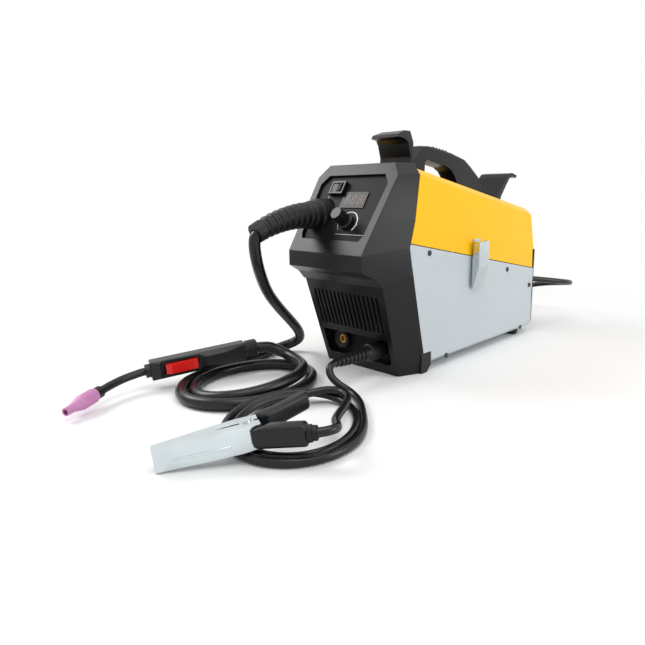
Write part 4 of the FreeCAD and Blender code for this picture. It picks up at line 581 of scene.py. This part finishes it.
def loops(centre, halves, tilt, start, turns, climb, lane, layer, direction, leaning=None):
    """Points round an oval coil that starts at an angle in degrees.

    Each turn lies a lane further in, up to the climb, after which the turns
    lie a layer higher and widen again. leaning is the angle, height and
    heading of a stretch that is raised over a neighbour.
    """
    across = Vector((math.cos(tilt), math.sin(tilt), 0))
    along = Vector((-math.sin(tilt), math.cos(tilt), 0))
    points = []
    for i in range(1, int(round(turns * TURN_POINTS))):
        share = i / TURN_POINTS
        angle = math.radians(start) + direction * 2 * math.pi * share
        inner = min(share, climb + 0.25) - max(0.0, share - climb - 0.25)
        rise = min(max((share - climb) / 0.5, 0.0), 1.0) * layer
        one, two = [(half - lane * inner) / CURVE_REACH for half in halves]
        place = Vector(centre) + across * (one * math.cos(angle)) + along * (two * math.sin(angle))
        if leaning:
            peak, height, heading = leaning
            near = max(0.0, math.cos(angle - math.radians(peak)))
            place = place + Vector(heading) * (height * near * near)
        points.append(tuple(place + Vector((0, 0, rise))))
    return points


def make_curve(name, points, radius):
    """One open line with round section that rides on the machine."""
    curve = bpy.data.curves.new(name, "CURVE")
    curve.dimensions = "3D"
    curve.bevel_depth = radius
    curve.bevel_resolution = 6
    curve.resolution_u = 10
    curve.use_fill_caps = True
    line = curve.splines.new("NURBS")
    line.points.add(len(points) - 1)
    for place, point in zip(line.points, points):
        place.co = (*point, 1)
    line.order_u = 3
    line.use_endpoint_u = True
    curve.materials.append(looks["cable"])
    piece = bpy.data.objects.new(name, curve)
    bpy.context.collection.objects.link(piece)
    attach(piece, "machine")
    return piece


def torch_cable():
    turns = loops((-0.052, -0.198, 0.0082), (0.084, 0.102), 0, 180, 1.75, 1.25, 0.0175, 0.017, 1)
    cable = make_curve("torch_cable", TORCH_DROP + turns + TORCH_TAIL, 0.008)
    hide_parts("torch_cable_drop", "torch_coil", "torch_tail")


def ground_cable():
    leaning = (120, 0.0114, (2.2, -1.56, 1))
    turns = loops((0.092, -0.246, 0.0052), (0.084, 0.104), GROUND_TILT, 10, 1.75, 9, 0.0115, 0, -1, leaning)
    cable = make_curve("ground_cable", GROUND_LEAD + turns + CLAMP_LEAD, 0.005)
    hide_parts("ground_lead", "ground_coil", "clamp_lead")


def mains_cord():
    turns = loops((-0.064, 0.480, 0.0057), (0.068, 0.068), 0, 180, 4, 1.75, 0.0125, 0.0122, 1)
    cord = make_curve("mains_cord", MAINS_LEAD + turns + MAINS_TAIL, 0.0055)
    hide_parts("mains_lead", "mains_coil", "mains_tail")


# Room, light and camera


def seen_ray(nodes, links):
    """1 for rays that show a surface: seen, mirrored or through glass."""
    light_path = nodes.new("ShaderNodeLightPath")
    total = light_path.outputs["Is Camera Ray"]
    for kind in ("Is Glossy Ray", "Is Transmission Ray"):
        largest = nodes.new("ShaderNodeMath")
        largest.operation = "MAXIMUM"
        links.new(total, largest.inputs[0])
        links.new(light_path.outputs[kind], largest.inputs[1])
        total = largest.outputs["Value"]
    return total


def mixed(nodes, links, share, first, second, output):
    mix = nodes.new("ShaderNodeMixShader")
    links.new(share, mix.inputs["Fac"])
    links.new(first, mix.inputs[1])
    links.new(second, mix.inputs[2])
    links.new(mix.outputs["Shader"], nodes[output].inputs["Surface"])


def floor_material():
    """Pale floor that turns into the white backdrop away from the object."""
    material, nodes, links, shader = new_material("floor_white")
    shader.inputs["Roughness"].default_value = 0.6
    cloud = noise(nodes, links, 3.0)
    links.new(ramp(nodes, links, cloud, (0.90, 0.90, 0.90), (0.93, 0.93, 0.93)), shader.inputs["Base Color"])
    place = nodes.new("ShaderNodeTexCoord")
    reach = nodes.new("ShaderNodeVectorMath")
    reach.operation = "DISTANCE"
    reach.inputs[1].default_value = (0, 0.08, 0)
    links.new(place.outputs["Object"], reach.inputs[0])
    far = nodes.new("ShaderNodeMapRange")
    far.interpolation_type = "SMOOTHSTEP"
    far.inputs["From Min"].default_value = 0.45
    far.inputs["From Max"].default_value = 0.95
    links.new(reach.outputs["Value"], far.inputs["Value"])
    share = nodes.new("ShaderNodeMath")
    share.operation = "MULTIPLY"
    links.new(far.outputs["Result"], share.inputs[0])
    links.new(seen_ray(nodes, links), share.inputs[1])
    white = nodes.new("ShaderNodeEmission")
    white.inputs["Color"].default_value = WHITE
    white.inputs["Strength"].default_value = 1.0
    surfaces = shader.outputs["BSDF"], white.outputs["Emission"]
    mixed(nodes, links, share.outputs["Value"], *surfaces, "Material Output")
    return material


def floor():
    size = 6.0
    corners = [(-size, -size, 0), (size, -size, 0), (size, size, 0), (-size, size, 0)]
    mesh = bpy.data.meshes.new("floor")
    mesh.from_pydata(corners, [], [(0, 1, 2, 3)])
    mesh.materials.append(floor_material())
    piece = bpy.data.objects.new("floor", mesh)
    bpy.context.collection.objects.link(piece)


def world():
    """White where it is seen, and a softer light on the object."""
    studio = bpy.data.worlds.new("studio")
    bpy.context.scene.world = studio
    studio.use_nodes = True
    nodes = studio.node_tree.nodes
    links = studio.node_tree.links
    lit = nodes["Background"]
    shown = nodes.new("ShaderNodeBackground")
    for background, strength in ((lit, WORLD_STRENGTH), (shown, 1.0)):
        background.inputs["Color"].default_value = WHITE
        background.inputs["Strength"].default_value = strength
    outputs = lit.outputs["Background"], shown.outputs["Background"]
    mixed(nodes, links, seen_ray(nodes, links), *outputs, "World Output")


def area_light(name, place, target, size, power):
    lamp = bpy.data.lights.new(name, "AREA")
    lamp.shape = "RECTANGLE"
    lamp.size, lamp.size_y = size
    lamp.energy = power
    holder = bpy.data.objects.new(name, lamp)
    bpy.context.collection.objects.link(holder)
    holder.location = place
    aim = Vector(target) - Vector(place)
    holder.rotation_euler = aim.to_track_quat("-Z", "Y").to_euler()


def lights():
    centre = (0.0, 0.05, 0.15)
    area_light("key_top", (0.5, -0.1, 1.8), centre, (1.4, 1.4), 15)
    area_light("side_right", (1.9, 0.9, 0.8), centre, (1.0, 1.4), 15)
    area_light("face_sheen", (-1.15, -0.65, 1.25), (0, -0.07, 0.24), (0.8, 0.8), 16)


def camera():
    data = bpy.data.cameras.new("camera")
    data.sensor_width = 36
    data.lens = 30.876
    data.shift_x = -0.0431
    data.shift_y = -0.0354
    data.clip_start = 0.01
    data.clip_end = 50
    holder = bpy.data.objects.new("camera", data)
    bpy.context.collection.objects.link(holder)
    holder.location = (0.55301, -0.63946, 0.26248)
    holder.rotation_euler = (1.3832136, 0.0055427, 0.7549331)
    bpy.context.scene.camera = holder
    bpy.context.scene.view_settings.view_transform = "Standard"


looks = make_looks()
dress_nodes()
display_marks()
panel_marks()
side_screws()
clamp_pieces()
torch_cable()
ground_cable()
mains_cord()
floor()
world()
lights()
camera()
